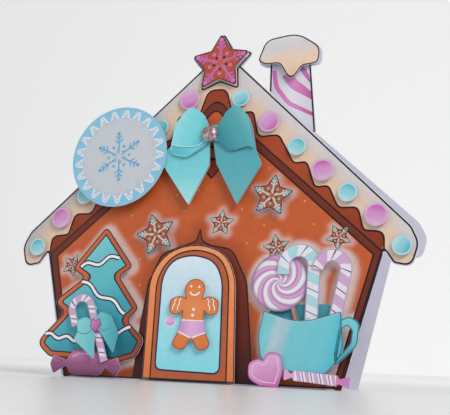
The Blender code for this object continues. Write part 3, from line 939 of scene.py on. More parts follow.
    def cap(self):
        front = 2.4
        ink = ramp_ink("cap_icing", [(0.0, srgb(228, 190, 158)), (0.4, tuple(inks().icing_warm)),
                                     (0.75, tuple(inks().icing)), (1.0, srgb(218, 218, 220))])
        prints = [patch([inset(CAP, 0.15)], level(front, 1), ink, (38.0, 147.0, 23.0, 97.0))]
        prints.append(patch(ring(CAP, 0.15, 0.15 + width() * 0.8), level(front, 2), line_ink()))
        bind("chimney_cap_print", prints)

    def speckles(self):
        places = [(30.5, 101.9), (48.6, 85.1), (18.0, 82.1), (29.6, 73.8), (53.6, 74.0), (21.6, 65.4),
                  (57.9, 63.3), (-40.0, 80.0), (-12.0, 82.0), (-16.5, 90.0), (-60.0, 63.5), (-33.0, 58.0),
                  (-32.0, 45.0), (28.5, 54.0), (25.0, 38.0), (30.0, 15.0), (73.0, 56.0), (-78.5, 50.0),
                  (-36.0, 93.0), (-5.0, 92.0), (30.0, 58.5)]
        ink = plain_ink("sugar_speckle", srgb(226, 160, 120))
        dots = [circle(place, 0.42, 8) for place in places]
        bind("speckle_print", [patch(dots, level(0, 2), ink)])


def snowflake(centre, reach, turn, arms=5, weight=0.07):
    """Outlines of a piped snowflake: spokes with twigs, inner beads and tip knots."""
    strokes = []
    beads = []
    knots = []
    centre = Vector(centre)
    for index in range(arms):
        angle = math.radians(90.0 + turn + 360.0 / arms * index)
        out = Vector((math.cos(angle), math.sin(angle)))
        side = Vector((-out.y, out.x))
        shaft = [centre + out * reach * 0.1, centre + out * reach * 0.78]
        strokes.append(ribbon(shaft, reach * weight))
        for share, size in ((0.46, 0.17), (0.62, 0.13)):
            root = centre + out * reach * share
            for hand in (1.0, -1.0):
                way = (out + side * hand).normalized()
                tip = root + way * reach * size
                strokes.append(ribbon([root + way * reach * 0.03, tip], reach * weight * 0.8))
                beads.append(circle(tip, reach * weight * 0.62, 8))
        knots.append(circle(centre + out * reach * 0.82, reach * weight * 1.2, 14))
        half = math.radians(180.0 / arms)
        between = Vector((math.cos(angle + half), math.sin(angle + half)))
        knots.append(circle(centre + between * reach * 0.38, reach * weight * 0.95, 12))
        petal = centre + between * reach * 0.18
        strokes.append(ribbon([centre + out * reach * 0.3, petal], reach * weight * 0.7))
    return strokes, beads, knots


class CandyHouseStars(bpy.types.Operator):
    """Print the star biscuits, flat on the wall and on the raised stars"""

    bl_idname = "candy_house.stars"
    bl_label = "Stars"

    def execute(self, context):
        rust = ramp_ink("star_biscuit", [(0.0, srgb(186, 88, 50)), (0.6, srgb(176, 78, 44)),
                                         (1.0, srgb(140, 56, 36))], radial=True)
        pale = (plain_ink("pale_piping", srgb(186, 208, 204)), plain_ink("blue_bead", srgb(112, 186, 184)))
        flat = []
        for place in FLAT_STARS:
            flat += self.star_prints(place, 0.0, rust, pale, 2)
        bind("flat_star_print", flat)
        for name, place in RAISED_STARS.items():
            bind(name + "_print", self.star_prints(place, 2.2, rust, pale, 1))
        plum = ramp_ink("peak_star_biscuit", [(0.0, srgb(196, 96, 60)), (0.55, srgb(178, 76, 50)),
                                              (1.0, srgb(128, 42, 50))], radial=True)
        pink = (plain_ink("pink_piping", srgb(198, 108, 170)), plain_ink("plum_bead", srgb(206, 116, 178)))
        centre, outer, inner = PEAK_STAR
        base = star(centre, outer + PEAK_STAR_MARGIN, inner + PEAK_STAR_MARGIN)
        under = [patch([inset(base, 0.3)], level(0, 10), plain_ink("star_margin", srgb(214, 206, 206)))]
        under.append(patch(ring(base, 0.3, 0.3 + width()), level(0, 11), line_ink()))
        bind("peak_star_under_print", under)
        prints = self.star_prints((*PEAK_STAR, 1.0), 2.4, plum, pink, 1)
        bind("peak_star_print", prints)
        return {"FINISHED"}

    def star_prints(self, place, front, biscuit, piping, layer):
        """One star: biscuit, rim, piped snowflake with its knots, and dots at the middle."""
        centre, outer, inner, turn = place
        icing, tip = piping
        shape = star(centre, outer, inner, turn)
        prints = [patch([inset(shape, 0.12)], level(front, layer), biscuit, (*centre, outer, 0.0))]
        edge = ring(shape, 0.12, 0.12 + width() * 0.7)
        rim = plain_ink("star_rim", srgb(84, 26, 30))
        prints.append(patch(edge, level(front, layer + 1), rim))
        strokes, beads, knots = snowflake(centre, outer, turn)
        for step, shapes in enumerate((strokes[::2], strokes[1::2], beads[::2], beads[1::2])):
            prints.append(patch(shapes, level(front, layer + 1 + step), icing))
        prints.append(patch(knots, level(front, layer + 5), tip))
        dots = []
        for index in range(5):
            angle = math.radians(126.0 + turn + 72.0 * index)
            way = Vector((math.cos(angle), math.sin(angle)))
            dots.append(circle(Vector(centre) + way * outer * 0.22, outer * 0.05, 8))
        prints.append(patch(dots, level(front, layer + 6), rim))
        return prints


CANDY_TURNS = {
    "candy_right_1": -70.0, "candy_right_2": -50.0, "candy_right_3": 60.0, "candy_right_4": 100.0,
    "candy_right_5": 70.0, "candy_right_6": 80.0, "candy_right_7": -30.0, "candy_left_1": -80.0,
    "candy_left_2": 10.0, "candy_left_3": 40.0, "candy_left_4": 90.0, "candy_left_5": 120.0,
    "candy_left_6": 100.0,
}


def flat_place(low, high):
    """Drawing coordinates of the middle of a CAD box."""
    place = DRAWING.inverted() @ ((low + high) / 2.0)
    return place.x, place.y


class CandyHouseCandies(bpy.types.Operator):
    """Print the round sweets along the roof"""

    bl_idname = "candy_house.candies"
    bl_label = "Candies"

    def execute(self, context):
        rose = ramp_ink("pink_candy", [(0.0, srgb(216, 182, 216)), (0.45, srgb(210, 150, 200)),
                                       (1.0, srgb(198, 92, 172))])
        sky = ramp_ink("blue_candy", [(0.0, srgb(186, 222, 228)), (0.5, srgb(140, 206, 216)),
                                      (1.0, srgb(72, 178, 196))])
        rose_rim = plain_ink("pink_candy_rim", srgb(214, 170, 208))
        sky_rim = plain_ink("blue_candy_rim", srgb(178, 220, 226))
        front = 1.9
        for name, turn in CANDY_TURNS.items():
            low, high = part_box(name)
            centre = flat_place(low, high)
            radius = (high.x - low.x) / 2.0 / MM
            is_pink = radius > 4.8
            fill = rose if is_pink else sky
            rim = rose_rim if is_pink else sky_rim
            way = Vector((math.cos(math.radians(turn)), math.sin(math.radians(turn))))
            start = Vector(centre) - way * radius
            prints = [patch([circle(centre, radius, 48)], level(front, 1), rim)]
            inner = circle(centre, radius * 0.84, 48)
            prints.append(patch([inner], level(front, 2), fill, (start.x, start.y, radius * 2.0, turn)))
            bind(name + "_print", prints)
        return {"FINISHED"}


class CandyHouseTag(bpy.types.Operator):
    """Print the round tag: lace doily, dotted ring and a snowflake"""

    bl_idname = "candy_house.tag"
    bl_label = "Tag"

    def execute(self, context):
        front = 4.6
        rim = plain_ink("tag_rim", srgb(138, 196, 222))
        doily = plain_ink("tag_doily", srgb(200, 205, 212), 0.02)
        lace = plain_ink("tag_lace", srgb(226, 230, 236), 0.01)
        net = plain_ink("tag_net", srgb(188, 200, 212))
        shadow = plain_ink("tag_lace_shadow", srgb(170, 184, 198))
        prints = [patch([circle(TAG, 26.5, 96)], level(front, 1), rim)]
        prints.append(patch([circle(TAG, 20.4, 96)], level(front, 3), doily))
        scallops = []
        holes = []
        dots = []
        for index in range(TAG_SCALLOPS):
            scallop = [(19.8, -0.95, 0.0), (24.9, -0.28, 1.0), (24.9, 0.28, 1.0), (19.8, 0.95, 0.0)]
            scallops.append([(*self.spoke(index, r, a), soft) for r, a, soft in scallop])
            for radius, shift, size in ((22.9, 0.0, 0.62), (21.5, -0.36, 0.5), (21.5, 0.36, 0.5)):
                holes.append(circle(self.spoke(index, radius, shift), size, 12))
            for radius, shift, size in ((19.4, 0.0, 0.34), (19.8, 0.5, 0.28), (19.8, -0.5, 0.28),
                                        (18.5, 0.0, 0.22), (18.2, 1.0, 0.22), (17.6, 0.5, 0.2)):
                dots.append(circle(self.spoke(index, radius, shift), size, 8))
        for third in range(3):
            shapes = scallops[third::3]
            prints.append(patch([rounded(shape) for shape in shapes], level(front, 2), lace))
            prints.append(patch([inset(shape, 0.7) for shape in shapes], level(front, 3), net))
        prints.append(patch(holes, level(front, 4), lace))
        prints.append(patch(dots, level(front, 4), shadow))
        blue = plain_ink("tag_snowflake", srgb(96, 172, 210))
        strokes, beads, knots = snowflake(TAG, 15.0, 6.0, 6, 0.05)
        for step, shapes in enumerate((strokes[::2], strokes[1::2], beads[::2], beads[1::2], knots)):
            prints.append(patch(shapes, level(front, 4 + step), blue))
        bind("tag_print", prints)
        return {"FINISHED"}

    def spoke(self, index, radius, shift):
        """Place on the tag, shift half-scallops round from the middle of a scallop."""
        turn = math.pi * (2.0 * index + shift) / TAG_SCALLOPS
        return TAG + radius * Vector((math.cos(turn), math.sin(turn)))


class CandyHouseBow(bpy.types.Operator):
    """Print the three layers of the bow and dress the stone"""

    bl_idname = "candy_house.bow"
    bl_label = "Bow"

    def execute(self, context):
        knot = [(4.6, 115.6, 0.0), (4.4, 123.6, 0.0)]
        right_loop = [(8.2, 130.4, 4.0), (13.0, 134.4, 3.0), (19.4, 127.8, 8.0), (24.2, 110.4, 1.0)]
        left_loop = [(-4.0, 130.0, 4.0), (-11.2, 135.2, 5.0), (-18.6, 125.5, 8.0), (-20.4, 110.0, 4.5)]
        left_under = [(-11.0, 107.4, 6.0), (-1.6, 113.2, 2.0)]
        under = [(20.6, 112.0, 2.0), (11.4, 109.8, 6.0)]
        left_tail = [(-18.4, 117.0, 0.0), (-26.2, 107.7, 0.3), (-8.6, 84.0, 0.4), (0.6, 103.4, 4.0)]
        right_tail = [(4.6, 104.0, 4.0), (16.3, 83.6, 0.4), (27.4, 103.2, 0.3), (24.0, 110.8, 0.4)]
        inner = [(0.0, 116.0, 0.0)]
        top_left = [(-0.9, 123.8, 0.0)]
        right = right_tail + [(21.6, 122.0, 6.0)] + right_loop[:3][::-1] + knot[::-1][:1]
        left = top_left + left_loop[:3] + left_tail + inner
        whole = right + left + knot[:1]
        light = ramp_ink("bow_light", [(0.0, srgb(166, 226, 230)), (0.4, tuple(inks().turquoise)),
                                       (1.0, srgb(96, 196, 206))])
        deep = ramp_ink("bow_deep", [(0.0, srgb(104, 176, 182)), (0.5, srgb(84, 170, 182)),
                                     (1.0, srgb(96, 184, 192))])
        middle = 2.0
        upward = (0.0, 84.0, 50.0, 90.0)
        for name, front in (("bow_back", 2.4), ("bow_middle", 3.7)):
            prints = [patch([rounded(whole)], level(front, 1), light, upward)]
            shaded = rounded(right, closed=False) + [Vector((middle, 116.0))]
            prints.append(patch([shaded], level(front, 2), deep, upward))
            bind(name + "_print", prints)
        loops_right = knot[:1] + [under[1], under[0]] + right_loop[::-1] + knot[1:]
        loops_left = top_left + left_loop + left_under + inner
        front = 5.0
        glow = ramp_ink("bow_loop_light", [(0.0, srgb(92, 192, 202)), (0.35, srgb(122, 214, 222)),
                                           (1.0, srgb(150, 224, 230))])
        dusk = ramp_ink("bow_loop_deep", [(0.0, srgb(54, 138, 150)), (0.5, srgb(76, 162, 172)),
                                          (1.0, srgb(112, 188, 194))])
        loops = rounded(loops_right + loops_left)
        shaded = rounded(loops_right + [(middle, 119.0, 0.0)])
        prints = [patch([loops], level(front, 1), glow, (-2.0, 118.0, 20.0, 160.0))]
        prints.append(patch([shaded], level(front, 2), dusk, (4.0, 118.0, 20.0, 30.0)))
        crease = [(-19.0, 114.6), (-16.0, 113.6, 8.0), (-6.0, 113.0, 8.0), (-0.8, 116.2)]
        pale = plain_ink("bow_crease_light", srgb(176, 232, 236))
        shadow = shared_ink("bow_crease_dark")
        prints.append(patch([ribbon(crease, 0.5)], level(front, 2), pale))
        prints.append(patch([ribbon(aside(crease, -0.5), 0.45)], level(front, 3), shadow))
        curl = rounded([(-19.2, 114.2, 0.5), (-16.0, 113.2, 8.0), (-6.0, 112.6, 8.0), (-1.6, 114.4, 0.4),
                        (-11.0, 107.9, 6.0), (-19.6, 110.4, 4.0)])
        inside = ramp_ink("bow_inside", [(0.0, srgb(84, 184, 198)), (1.0, srgb(124, 214, 224))])
        prints.append(patch([curl], level(front, 2), inside, (-20.0, 108.0, 20.0, 20.0)))
        bind("bow_front_print", prints)
        self.stone()
        return {"FINISHED"}

    def stone(self):
        node = frame["nodes"]["bow_gem"]
        node.data.materials.clear()
        node.data.materials.append(stone_glass())


class CandyHouseDoor(bpy.types.Operator):
    """Print the door and the biscuit figure on it"""

    bl_idname = "candy_house.door"
    bl_label = "Door"

    def execute(self, context):
        front = 2.4
        frame_ink = ramp_ink("door_frame", [(0.0, srgb(228, 124, 66)), (0.5, tuple(inks().door)),
                                            (1.0, srgb(242, 154, 100))], mottle=0.05)
        prints = [patch([inset(DOOR, 0.15)], level(front, 1), frame_ink, (0.0, 0.0, 64.0, 90.0))]
        brown = [(-20.6, 0.8, 0.0), (17.0, 0.8, 0.0), (14.8, 49.0, 34.0), (9.6, 58.4, 30.0),
                 (-2.4, 62.2, 40.0), (-14.8, 59.2, 30.0), (-21.8, 48.6, 34.0)]
        inner_ink = plain_ink("door_inner_frame", srgb(182, 94, 54), 0.06)
        prints.append(patch([rounded(brown)], level(front, 2), inner_ink))
        navy = plain_ink("navy_line", srgb(36, 36, 78))
        window = [(-18.6, 5.0, 3.6), (13.6, 4.2, 3.6), (11.8, 47.6, 30.0), (7.2, 56.4, 26.0),
                  (-4.2, 59.6, 40.0), (-14.6, 56.8, 26.0), (-19.2, 48.6, 30.0)]
        glass = ramp_ink("door_window", [(0.0, srgb(140, 222, 234)), (0.35, srgb(160, 228, 238)),
                                         (0.8, srgb(206, 232, 242)), (1.0, srgb(220, 236, 246))])
        prints.append(patch([rounded(window)], level(front, 3), glass, (0.0, 4.0, 54.0, 90.0)))
        prints.append(patch(ring(brown, -width() / 2.0, width() / 3.0), level(front, 4), line_ink()))
        prints.append(patch(ring(window, -width() / 2.0, width() / 2.0), level(front, 4), navy))
        prints.append(patch(ring(DOOR, 0.1, 0.1 + width() * 0.6), level(front, 4), line_ink()))
        button = ramp_ink("pink_button", [(0.0, srgb(246, 214, 240)), (1.0, srgb(224, 140, 206))])
        halo = plain_ink("button_halo", srgb(200, 232, 242))
        knob = (-12.9, 27.7)
        prints.append(patch([circle(knob, 3.0)], level(front, 4), halo))
        prints.append(patch([circle(knob, 2.3)], level(front, 5), button, (-12.9, 30.0, 4.6, -80.0)))
        bind("door_print", prints)
        self.figure()
        return {"FINISHED"}

    def figure(self):
        axis = -0.8
        front = 4.4
        turns = [math.radians(82.0 - 16.0 * step) for step in range(8)]
        half = [(5.2 * math.cos(turn), 42.4 + 5.0 * math.sin(turn), 0.0) for turn in turns]
        half += [(4.2, 38.0, 0.4), (7.2, 39.4, 2.6), (12.6, 37.8, 3.6), (12.0, 30.8, 3.6),
                 (7.6, 30.4, 2.6), (5.3, 32.4, 1.4), (5.6, 27.8, 1.0), (7.0, 22.2, 1.2),
                 (10.4, 16.2, 4.0), (3.6, 13.4, 4.0), (0.9, 18.8, 1.2)]
        outline = [(axis + u, v, r) for u, v, r in half[::-1]]
        outline += [(axis - u, v, r) for u, v, r in half]
        edge = plain_ink("biscuit_edge", srgb(166, 84, 46))
        dough = ramp_ink("biscuit_dough", [(0.0, srgb(232, 142, 82)), (0.6, tuple(inks().biscuit)),
                                           (1.0, srgb(198, 98, 50))], radial=True)
        white = shared_ink("white_piping")
        cloth = ramp_ink("pink_shorts", [(0.0, srgb(206, 150, 204)), (0.5, srgb(226, 180, 222)),
                                         (1.0, srgb(214, 162, 212))])
        prints = [patch([rounded(outline)], level(front, 1), edge)]
        prints.append(patch([inset(outline, 0.45)], level(front, 2), dough, (axis, 33.0, 26.0, 0.0)))
        shorts = rounded([(axis - 5.5, 28.0, 0.3), (axis - 6.7, 22.6, 0.5), (axis - 0.3, 19.8, 0.3),
                          (axis + 6.7, 22.4, 0.5), (axis + 5.5, 27.8, 0.3)])
        prints.append(patch([shorts], level(front, 3), cloth, (axis - 7.0, 24.0, 14.0, 0.0)))
        strokes = [
            ribbon([Vector((axis - 5.5, 28.0)), Vector((axis + 5.5, 27.8))], 0.5),
            ribbon([Vector((axis - 6.7, 22.6)), Vector((axis - 0.6, 20.0))], 0.7),
            ribbon([Vector((axis + 0.4, 20.0)), Vector((axis + 6.7, 22.4))], 0.7),
        ]
        turns = [math.radians(200.0 + 14.0 * step) for step in range(11)]
        smile = [Vector((axis + 2.5 * math.cos(a), 42.0 + 2.3 * math.sin(a))) for a in turns]
        strokes.append(ribbon(smile, 0.75))
        for side in (1.0, -1.0):
            for reach in (6.6, 9.0):
                zigzag = []
                for step in range(5):
                    swing = reach + 0.35 * step + 0.5 * (step % 2)
                    zigzag.append(Vector((axis + side * swing, 38.2 - 1.4 * step)))
                strokes.append(ribbon(zigzag, 0.5))
        prints.append(patch(strokes, level(front, 4), white))
        dots = [circle((axis - 2.0, 43.8), 0.6, 14), circle((axis + 2.1, 43.6), 0.6, 14),
                circle((axis + 0.1, 33.0), 0.75, 14), circle((axis - 0.1, 30.3), 0.75, 14)]
        prints.append(patch(dots, level(front, 4), white))
        bind("gingerbread_man_print", prints)


def cane_prints(line, half_width, front, wide, thin, pitch, slant):
    """White cane with wide and fine stripes of two inks, shaded along its edges."""
    prints = [patch([ribbon(line, half_width * 2.0)], level(front, 1), shared_ink("cane_white"))]
    reach = line_length(line)
    stripes = []
    threads = []
    start = -slant
    while start < reach + slant:
        stripes.append(band(line, start, start + pitch * 0.45, half_width, slant))
        thread = start + pitch * 0.68
        threads.append(band(line, thread, thread + 0.55, half_width, slant))
        start += pitch
    stripes = [s for s in stripes if abs(signed_area(s)) > 0.3]
    threads = [s for s in threads if abs(signed_area(s)) > 0.1]
    prints.append(patch(stripes, level(front, 2), shared_ink(wide)))
    prints.append(patch(threads, level(front, 2), shared_ink(thin)))
    for side in (1.0, -1.0):
        edge = aside(line, side * (half_width - 0.2))
        prints.append(patch([ribbon(edge, 0.4)], level(front, 3), shared_ink("cane_edge")))
    return prints


class CandyHouseTree(bpy.types.Operator):
    """Print the tree biscuit, its cane, bow and wrapped sweet"""

    bl_idname = "candy_house.tree"
    bl_label = "Tree"

    def execute(self, context):
        front = 2.4
        crust = ramp_ink("tree_crust", [(0.0, srgb(206, 112, 68)), (0.5, srgb(190, 92, 54)),
                                        (1.0, srgb(150, 66, 42))])
        prints = [patch([inset(TREE, 0.1)], level(front, 1), crust, (-80.0, 40.0, 60.0, -20.0))]
        inner = inset(TREE, 2.7)
        sea = ramp_ink("tree_icing", [(0.0, srgb(130, 206, 210)), (0.35, srgb(98, 190, 200)),
                                      (0.7, srgb(62, 160, 176)), (1.0, srgb(22, 112, 132))])
        prints.append(patch([inner], level(front, 2), sea, (-66.0, 66.0, 62.0, -56.0)))
        prints.append(patch(ring(TREE, 0.1, 0.1 + width() * 0.7), level(front, 3), line_ink()))
        prints.append(patch(ring(TREE, 2.5, 2.5 + width() * 0.8), level(front, 3), line_ink()))
        white = shared_ink("white_piping")
        navy = plain_ink("piping_shadow", srgb(34, 44, 76))
        garlands = [
            wavy((-64.0, 53.4), (-43.4, 58.6), 1.3, 1.6),
            wavy((-62.6, 46.0), (-36.8, 31.6), 1.2, 1.8),
            wavy((-79.6, 19.6), (-62.0, 17.4), 0.9, 1.8),
            wavy((-39.4, 21.2), (-33.4, 24.4), 0.4, 0.5),
        ]
        prints.append(patch([ribbon(g, 2.6) for g in garlands], level(front, 4), navy))
        prints.append(patch([ribbon(g, 1.3) for g in garlands], level(front, 5), white))
        bind("tree_print", prints)
        line = hook_line(*TREE_CANE)
        prints = cane_prints(line, 1.9, 5.0, "cane_pink", "cane_magenta", 7.4, 0.9)
        bind("tree_cane_print", prints)
        self.little_bow()
        self.sweet()
        return {"FINISHED"}

    def little_bow(self):
        wings = [(-50.4, 22.4, 0.0), (-49.2, 8.0, 0.6), (-61.2, 17.2, 0.5), (-59.6, 20.6, 0.6),
                 (-60.6, 26.4, 2.5), (-55.6, 28.2, 2.5), (-51.6, 25.4, 0.8), (-48.4, 30.8, 0.8),
                 (-42.8, 29.4, 3.5), (-37.8, 20.6, 1.0), (-39.4, 11.2, 0.5), (-47.6, 21.6, 0.5)]
        outline = rounded(wings[::-1])
        front = 6.1
        teal = ramp_ink("little_bow", [(0.0, srgb(140, 214, 218)), (0.5, srgb(108, 196, 204)),
                                       (1.0, srgb(72, 166, 178))])
        prints = [patch([outline], level(front, 1), teal, (-61.0, 20.0, 24.0, 0.0))]
        folds = [
            ribbon([(-60.0, 21.0), (-56.4, 19.8, 2.0), (-53.0, 20.6, 2.0), (-51.0, 23.4)], 0.5),
            ribbon([(-47.8, 22.6), (-45.0, 21.6, 2.0), (-42.0, 23.4)], 0.5),
        ]
        prints.append(patch(folds, level(front, 2), shared_ink("bow_crease_dark")))
        heart = [(-50.0, 20.4, 0.4), (-47.0, 24.4, 1.6), (-48.6, 28.0, 1.6), (-50.2, 26.4, 0.3),
                 (-52.4, 27.6, 1.4), (-53.2, 23.6, 1.4)]
        rose = ramp_ink("heart_knot", [(0.0, srgb(214, 140, 190)), (1.0, srgb(180, 92, 150))])
        prints.append(patch([rounded(heart)], level(front, 3), rose, (-53.0, 27.0, 7.0, -40.0)))
        prints.append(patch(ring(heart, 0.0, 0.35), level(front, 4), shared_ink("plum_line")))
        bind("tree_bow_print", prints)

    def sweet(self):
        shape = [(-65.2, 7.6, 0.6), (-62.0, 12.4, 3.5), (-46.4, 12.2, 3.5), (-43.8, 7.4, 0.6),
                 (-37.6, 9.8, 1.2), (-35.8, 4.8, 1.5), (-37.6, 0.5, 1.0), (-44.0, 4.6, 0.6),
                 (-46.6, 0.7, 3.5), (-62.4, 0.7, 3.5), (-65.2, 4.8, 0.6), (-71.8, 0.8, 1.0),
                 (-74.0, 5.4, 1.5), (-72.8, 9.8, 1.2)]
        outline = rounded(shape[::-1])
        front = 3.8
        mauve = ramp_ink("wrapped_mauve", [(0.0, srgb(110, 60, 96)), (0.4, srgb(150, 86, 126)),
                                           (0.8, srgb(188, 122, 166)), (1.0, srgb(164, 98, 142))])
        prints = [patch([outline], level(front, 1), mauve, (-55.0, 0.5, 12.5, 90.0))]
        folds = []
        for root, tips in (((-65.8, 6.2), ((-71.6, 8.6), (-72.2, 5.6), (-70.6, 2.4))),
                           ((-43.2, 6.0), ((-38.6, 8.4), (-37.6, 5.2), (-38.4, 2.2)))):
            for tip in tips:
                start = Vector(root).lerp(Vector(tip), 0.25)
                folds.append(ribbon([start, Vector(tip)], 0.4))
        prints.append(patch(folds, level(front, 2), shared_ink("plum_line")))
        shine = ribbon([(-62.0, 9.0), (-59.0, 10.8, 2.0), (-50.0, 10.6)], 0.7)
        prints.append(patch([shine], level(front, 2), plain_ink("mauve_shine", srgb(224, 168, 206))))
        bind("wrapped_sweet_print", prints)


class CandyHouseMug(bpy.types.Operator):
    """Print the mug, its handle, canes, lollipop and the sweets at its foot"""

    bl_idname = "candy_house.mug"
    bl_label = "Mug of sweets"

    def execute(self, context):
        self.behind()
        self.lollipop()
        blue = hook_line(*BLUE_CANE)
        prints = cane_prints(blue, 3.0, 2.7, "cane_teal", "cane_deep_teal", 10.4, 1.3)
        bind("blue_cane_print", prints)
        pink = hook_line(*PINK_CANE)
        prints = cane_prints(pink, 2.75, 3.7, "cane_pink", "cane_magenta", 10.0, 1.2)
        bind("pink_cane_print", prints)
        self.mug()
        self.heart()
        self.striped_sweet()
        return {"FINISHED"}

    def behind(self):
        rim = rounded([(35.0, 28.0, 0.3), (68.4, 28.0, 0.3), (68.4, 33.6, 0.3), (62.0, 37.2, 6.0),
                       (40.0, 36.6, 6.0), (34.6, 33.4, 0.3)])
        ink = ramp_ink("mug_inside", [(0.0, srgb(52, 140, 156)), (1.0, srgb(84, 176, 190))])
        bind("mug_inside_print", [patch([rim], level(0, 2), ink, (34.0, 34.0, 34.0, 0.0))])

    def lollipop(self):
        front = 1.7
        stick = [Vector(place) for place in ((44.6, 37.0), (47.6, 27.6), (49.4, 28.2), (46.4, 37.6))]
        wood = ramp_ink("stick_wood", [(0.0, srgb(150, 96, 84)), (0.5, srgb(196, 140, 124)),
                                       (1.0, srgb(130, 76, 70))])
        prints = [patch([stick], level(front, 1), wood, (45.0, 33.0, 3.0, 18.0))]
        disc = circle(LOLLIPOP, LOLLIPOP_RADIUS, 72)
        round_it = (*LOLLIPOP, LOLLIPOP_RADIUS, 25.0)
        prints.append(patch([disc], level(front, 2), swirl_ink(), round_it))
        bind("lollipop_print", prints)

    def mug(self):
        front = 4.9
        glaze = ramp_ink("mug_glaze", [
            (0.0, srgb(120, 200, 208)), (0.1, srgb(128, 204, 212)), (0.2, srgb(176, 204, 212)),
            (0.28, srgb(164, 200, 210)), (0.38, srgb(120, 200, 212)), (0.7, srgb(112, 200, 212)),
            (1.0, srgb(70, 186, 208)),
        ])
        prints = [patch([rounded(MUG)], level(front, 1), glaze, (31.5, 22.0, 40.0, -14.0))]
        handle = rounded(HANDLE)
        hole = rounded(HANDLE_HOLE)
        arm = ramp_ink("mug_handle", [(0.0, srgb(76, 168, 184)), (1.0, srgb(116, 204, 214))])
        prints.append(patch([handle, hole], level(front, 1), arm, (68.0, 16.0, 12.0, 50.0)))
        outline = plain_ink("mug_line", srgb(44, 110, 130))
        pale = plain_ink("mug_rim", srgb(176, 224, 230))
        prints.append(patch([ribbon(aside(MUG[:3], 0.4), 0.6)], level(front, 2), pale))
        prints.append(patch(ring(MUG, 0.05, 0.4), level(front, 3), outline))
        prints.append(patch([ribbon(aside(HANDLE, -0.3), 0.45)], level(front, 3), outline))
        prints.append(patch(ring(HANDLE_HOLE, -0.45, -0.05), level(front, 3), outline))
        bind("mug_print", prints)

    def heart(self):
        front = 6.3
        rose = ramp_ink("heart_rose", [(0.0, srgb(206, 112, 182)), (0.3, tuple(inks().pink)),
                                       (0.7, srgb(222, 166, 208)), (1.0, srgb(206, 130, 188))])
        edge = plain_ink("heart_edge", srgb(190, 100, 170))
        shine = plain_ink("heart_shine", srgb(232, 190, 222))
        prints = [patch([rounded(HEART)], level(front, 1), rose, (40.0, 0.0, 15.0, 110.0))]
        prints.append(patch(ring(HEART, 0.0, 0.4), level(front, 2), edge))
        prints.append(patch(ring(HEART, 1.5, 2.1), level(front, 2), shine))
        bind("heart_sweet_print", prints)

    def striped_sweet(self):
        twist = [(45.0, 8.0, 0.6), (48.4, 5.4, 0.5), (49.4, 7.0, 0.8), (68.6, 5.8, 0.6),
                 (69.6, 4.2, 0.3), (74.2, 5.4, 0.5), (73.8, 0.5, 0.5), (69.0, 2.2, 0.5),
                 (68.2, 1.2, 0.6), (50.6, 2.8, 1.0), (48.4, 4.0, 0.5), (45.0, 2.6, 0.6)]
        front = 6.3
        rose = ramp_ink("twist_pink", [(0.0, srgb(226, 170, 212)), (1.0, srgb(206, 130, 190))])
        prints = [patch([rounded(twist[::-1])], level(front, 1), rose, (44.0, 4.0, 30.0, 0.0))]
        middle = [Vector((49.6, 4.9)), Vector((68.4, 3.5))]
        half_width = 2.15
        prints.append(patch([ribbon(middle, 2.0 * half_width)], level(front, 2), shared_ink("cane_white")))
        stripes = []
        threads = []
        for index in range(5):
            start = 1.2 + 3.9 * index
            stripes.append(band(middle, start, start + 1.7, half_width, -0.7))
            threads.append(band(middle, start + 2.5, start + 2.9, half_width, -0.7))
        prints.append(patch(stripes, level(front, 3), shared_ink("cane_pink")))
        prints.append(patch(threads, level(front, 3), shared_ink("cane_magenta")))
        bind("striped_sweet_print", prints)


class CandyHouseCardStock(bpy.types.Operator):
    """Give the cut card, the foam pads and the two inner sheets their bare finish"""

    bl_idname = "candy_house.card_stock"
    bl_label = "Card stock"

    def execute(self, context):
        core = bare_card("white_core", tuple(inks().paper))
        # Painted shade: the back panel's card is given a darker colour than the white core of the same
        # card.
        back = bare_card("back_card_shaded", srgb(198, 198, 213))
        insert = bare_card("insert_paper", srgb(226, 224, 234))
        for name, node in frame["nodes"].items():
            if name == "bow_gem":
                continue
            node.data.materials.clear()
            node.data.materials.append({"back_panel": back, "insert_sheet": insert}.get(name, core))
        return {"FINISHED"}


class CandyHouseFold(bpy.types.Operator):
    """Wrap a strip of card round the fold, from the front panel to the back one"""

    bl_idname = "candy_house.fold"
    bl_label = "Fold"

    def execute(self, context):
        height = FOLD_HEIGHT / math.cos(FLARE)
        section = [(0.9, -0.7, 0.0), (-0.1, -0.6, 0.8), (-0.2, 0.6, 0.8), (0.03, 1.1, 0.0)]
        strip = extruded([rounded(section, closed=False)], height, False)
        thicken = strip.modifiers.new("card", "SOLIDIFY")
        thicken.thickness = FOLD_CARD
        thicken.offset = 0.0
        bpy.ops.object.modifier_apply(modifier=thicken.name)
        bpy.ops.object.shade_flat()
        across = UPRIGHT @ Vector((math.cos(FLARE), 0.0, math.sin(FLARE)))
        back = UPRIGHT @ Vector((0.0, 1.0, 0.0))
        fold = Matrix((across, back, FOLD_AXIS)).transposed().to_4x4()
        fold = Matrix.Translation(FOLD_AT) @ fold @ Matrix.Scale(MM, 4)
        strip.matrix_world = fold @ Matrix.Translation((0.0, 0.0, FOLD_START + height / 2.0))
        bpy.ops.object.transform_apply(location=True, rotation=True, scale=True)
        strip.name = "fold_strip"
        strip.data.name = "fold_strip"
        strip.data.materials.append(bare_card("white_core", tuple(inks().paper)))
        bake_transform(strip)
        return {"FINISHED"}


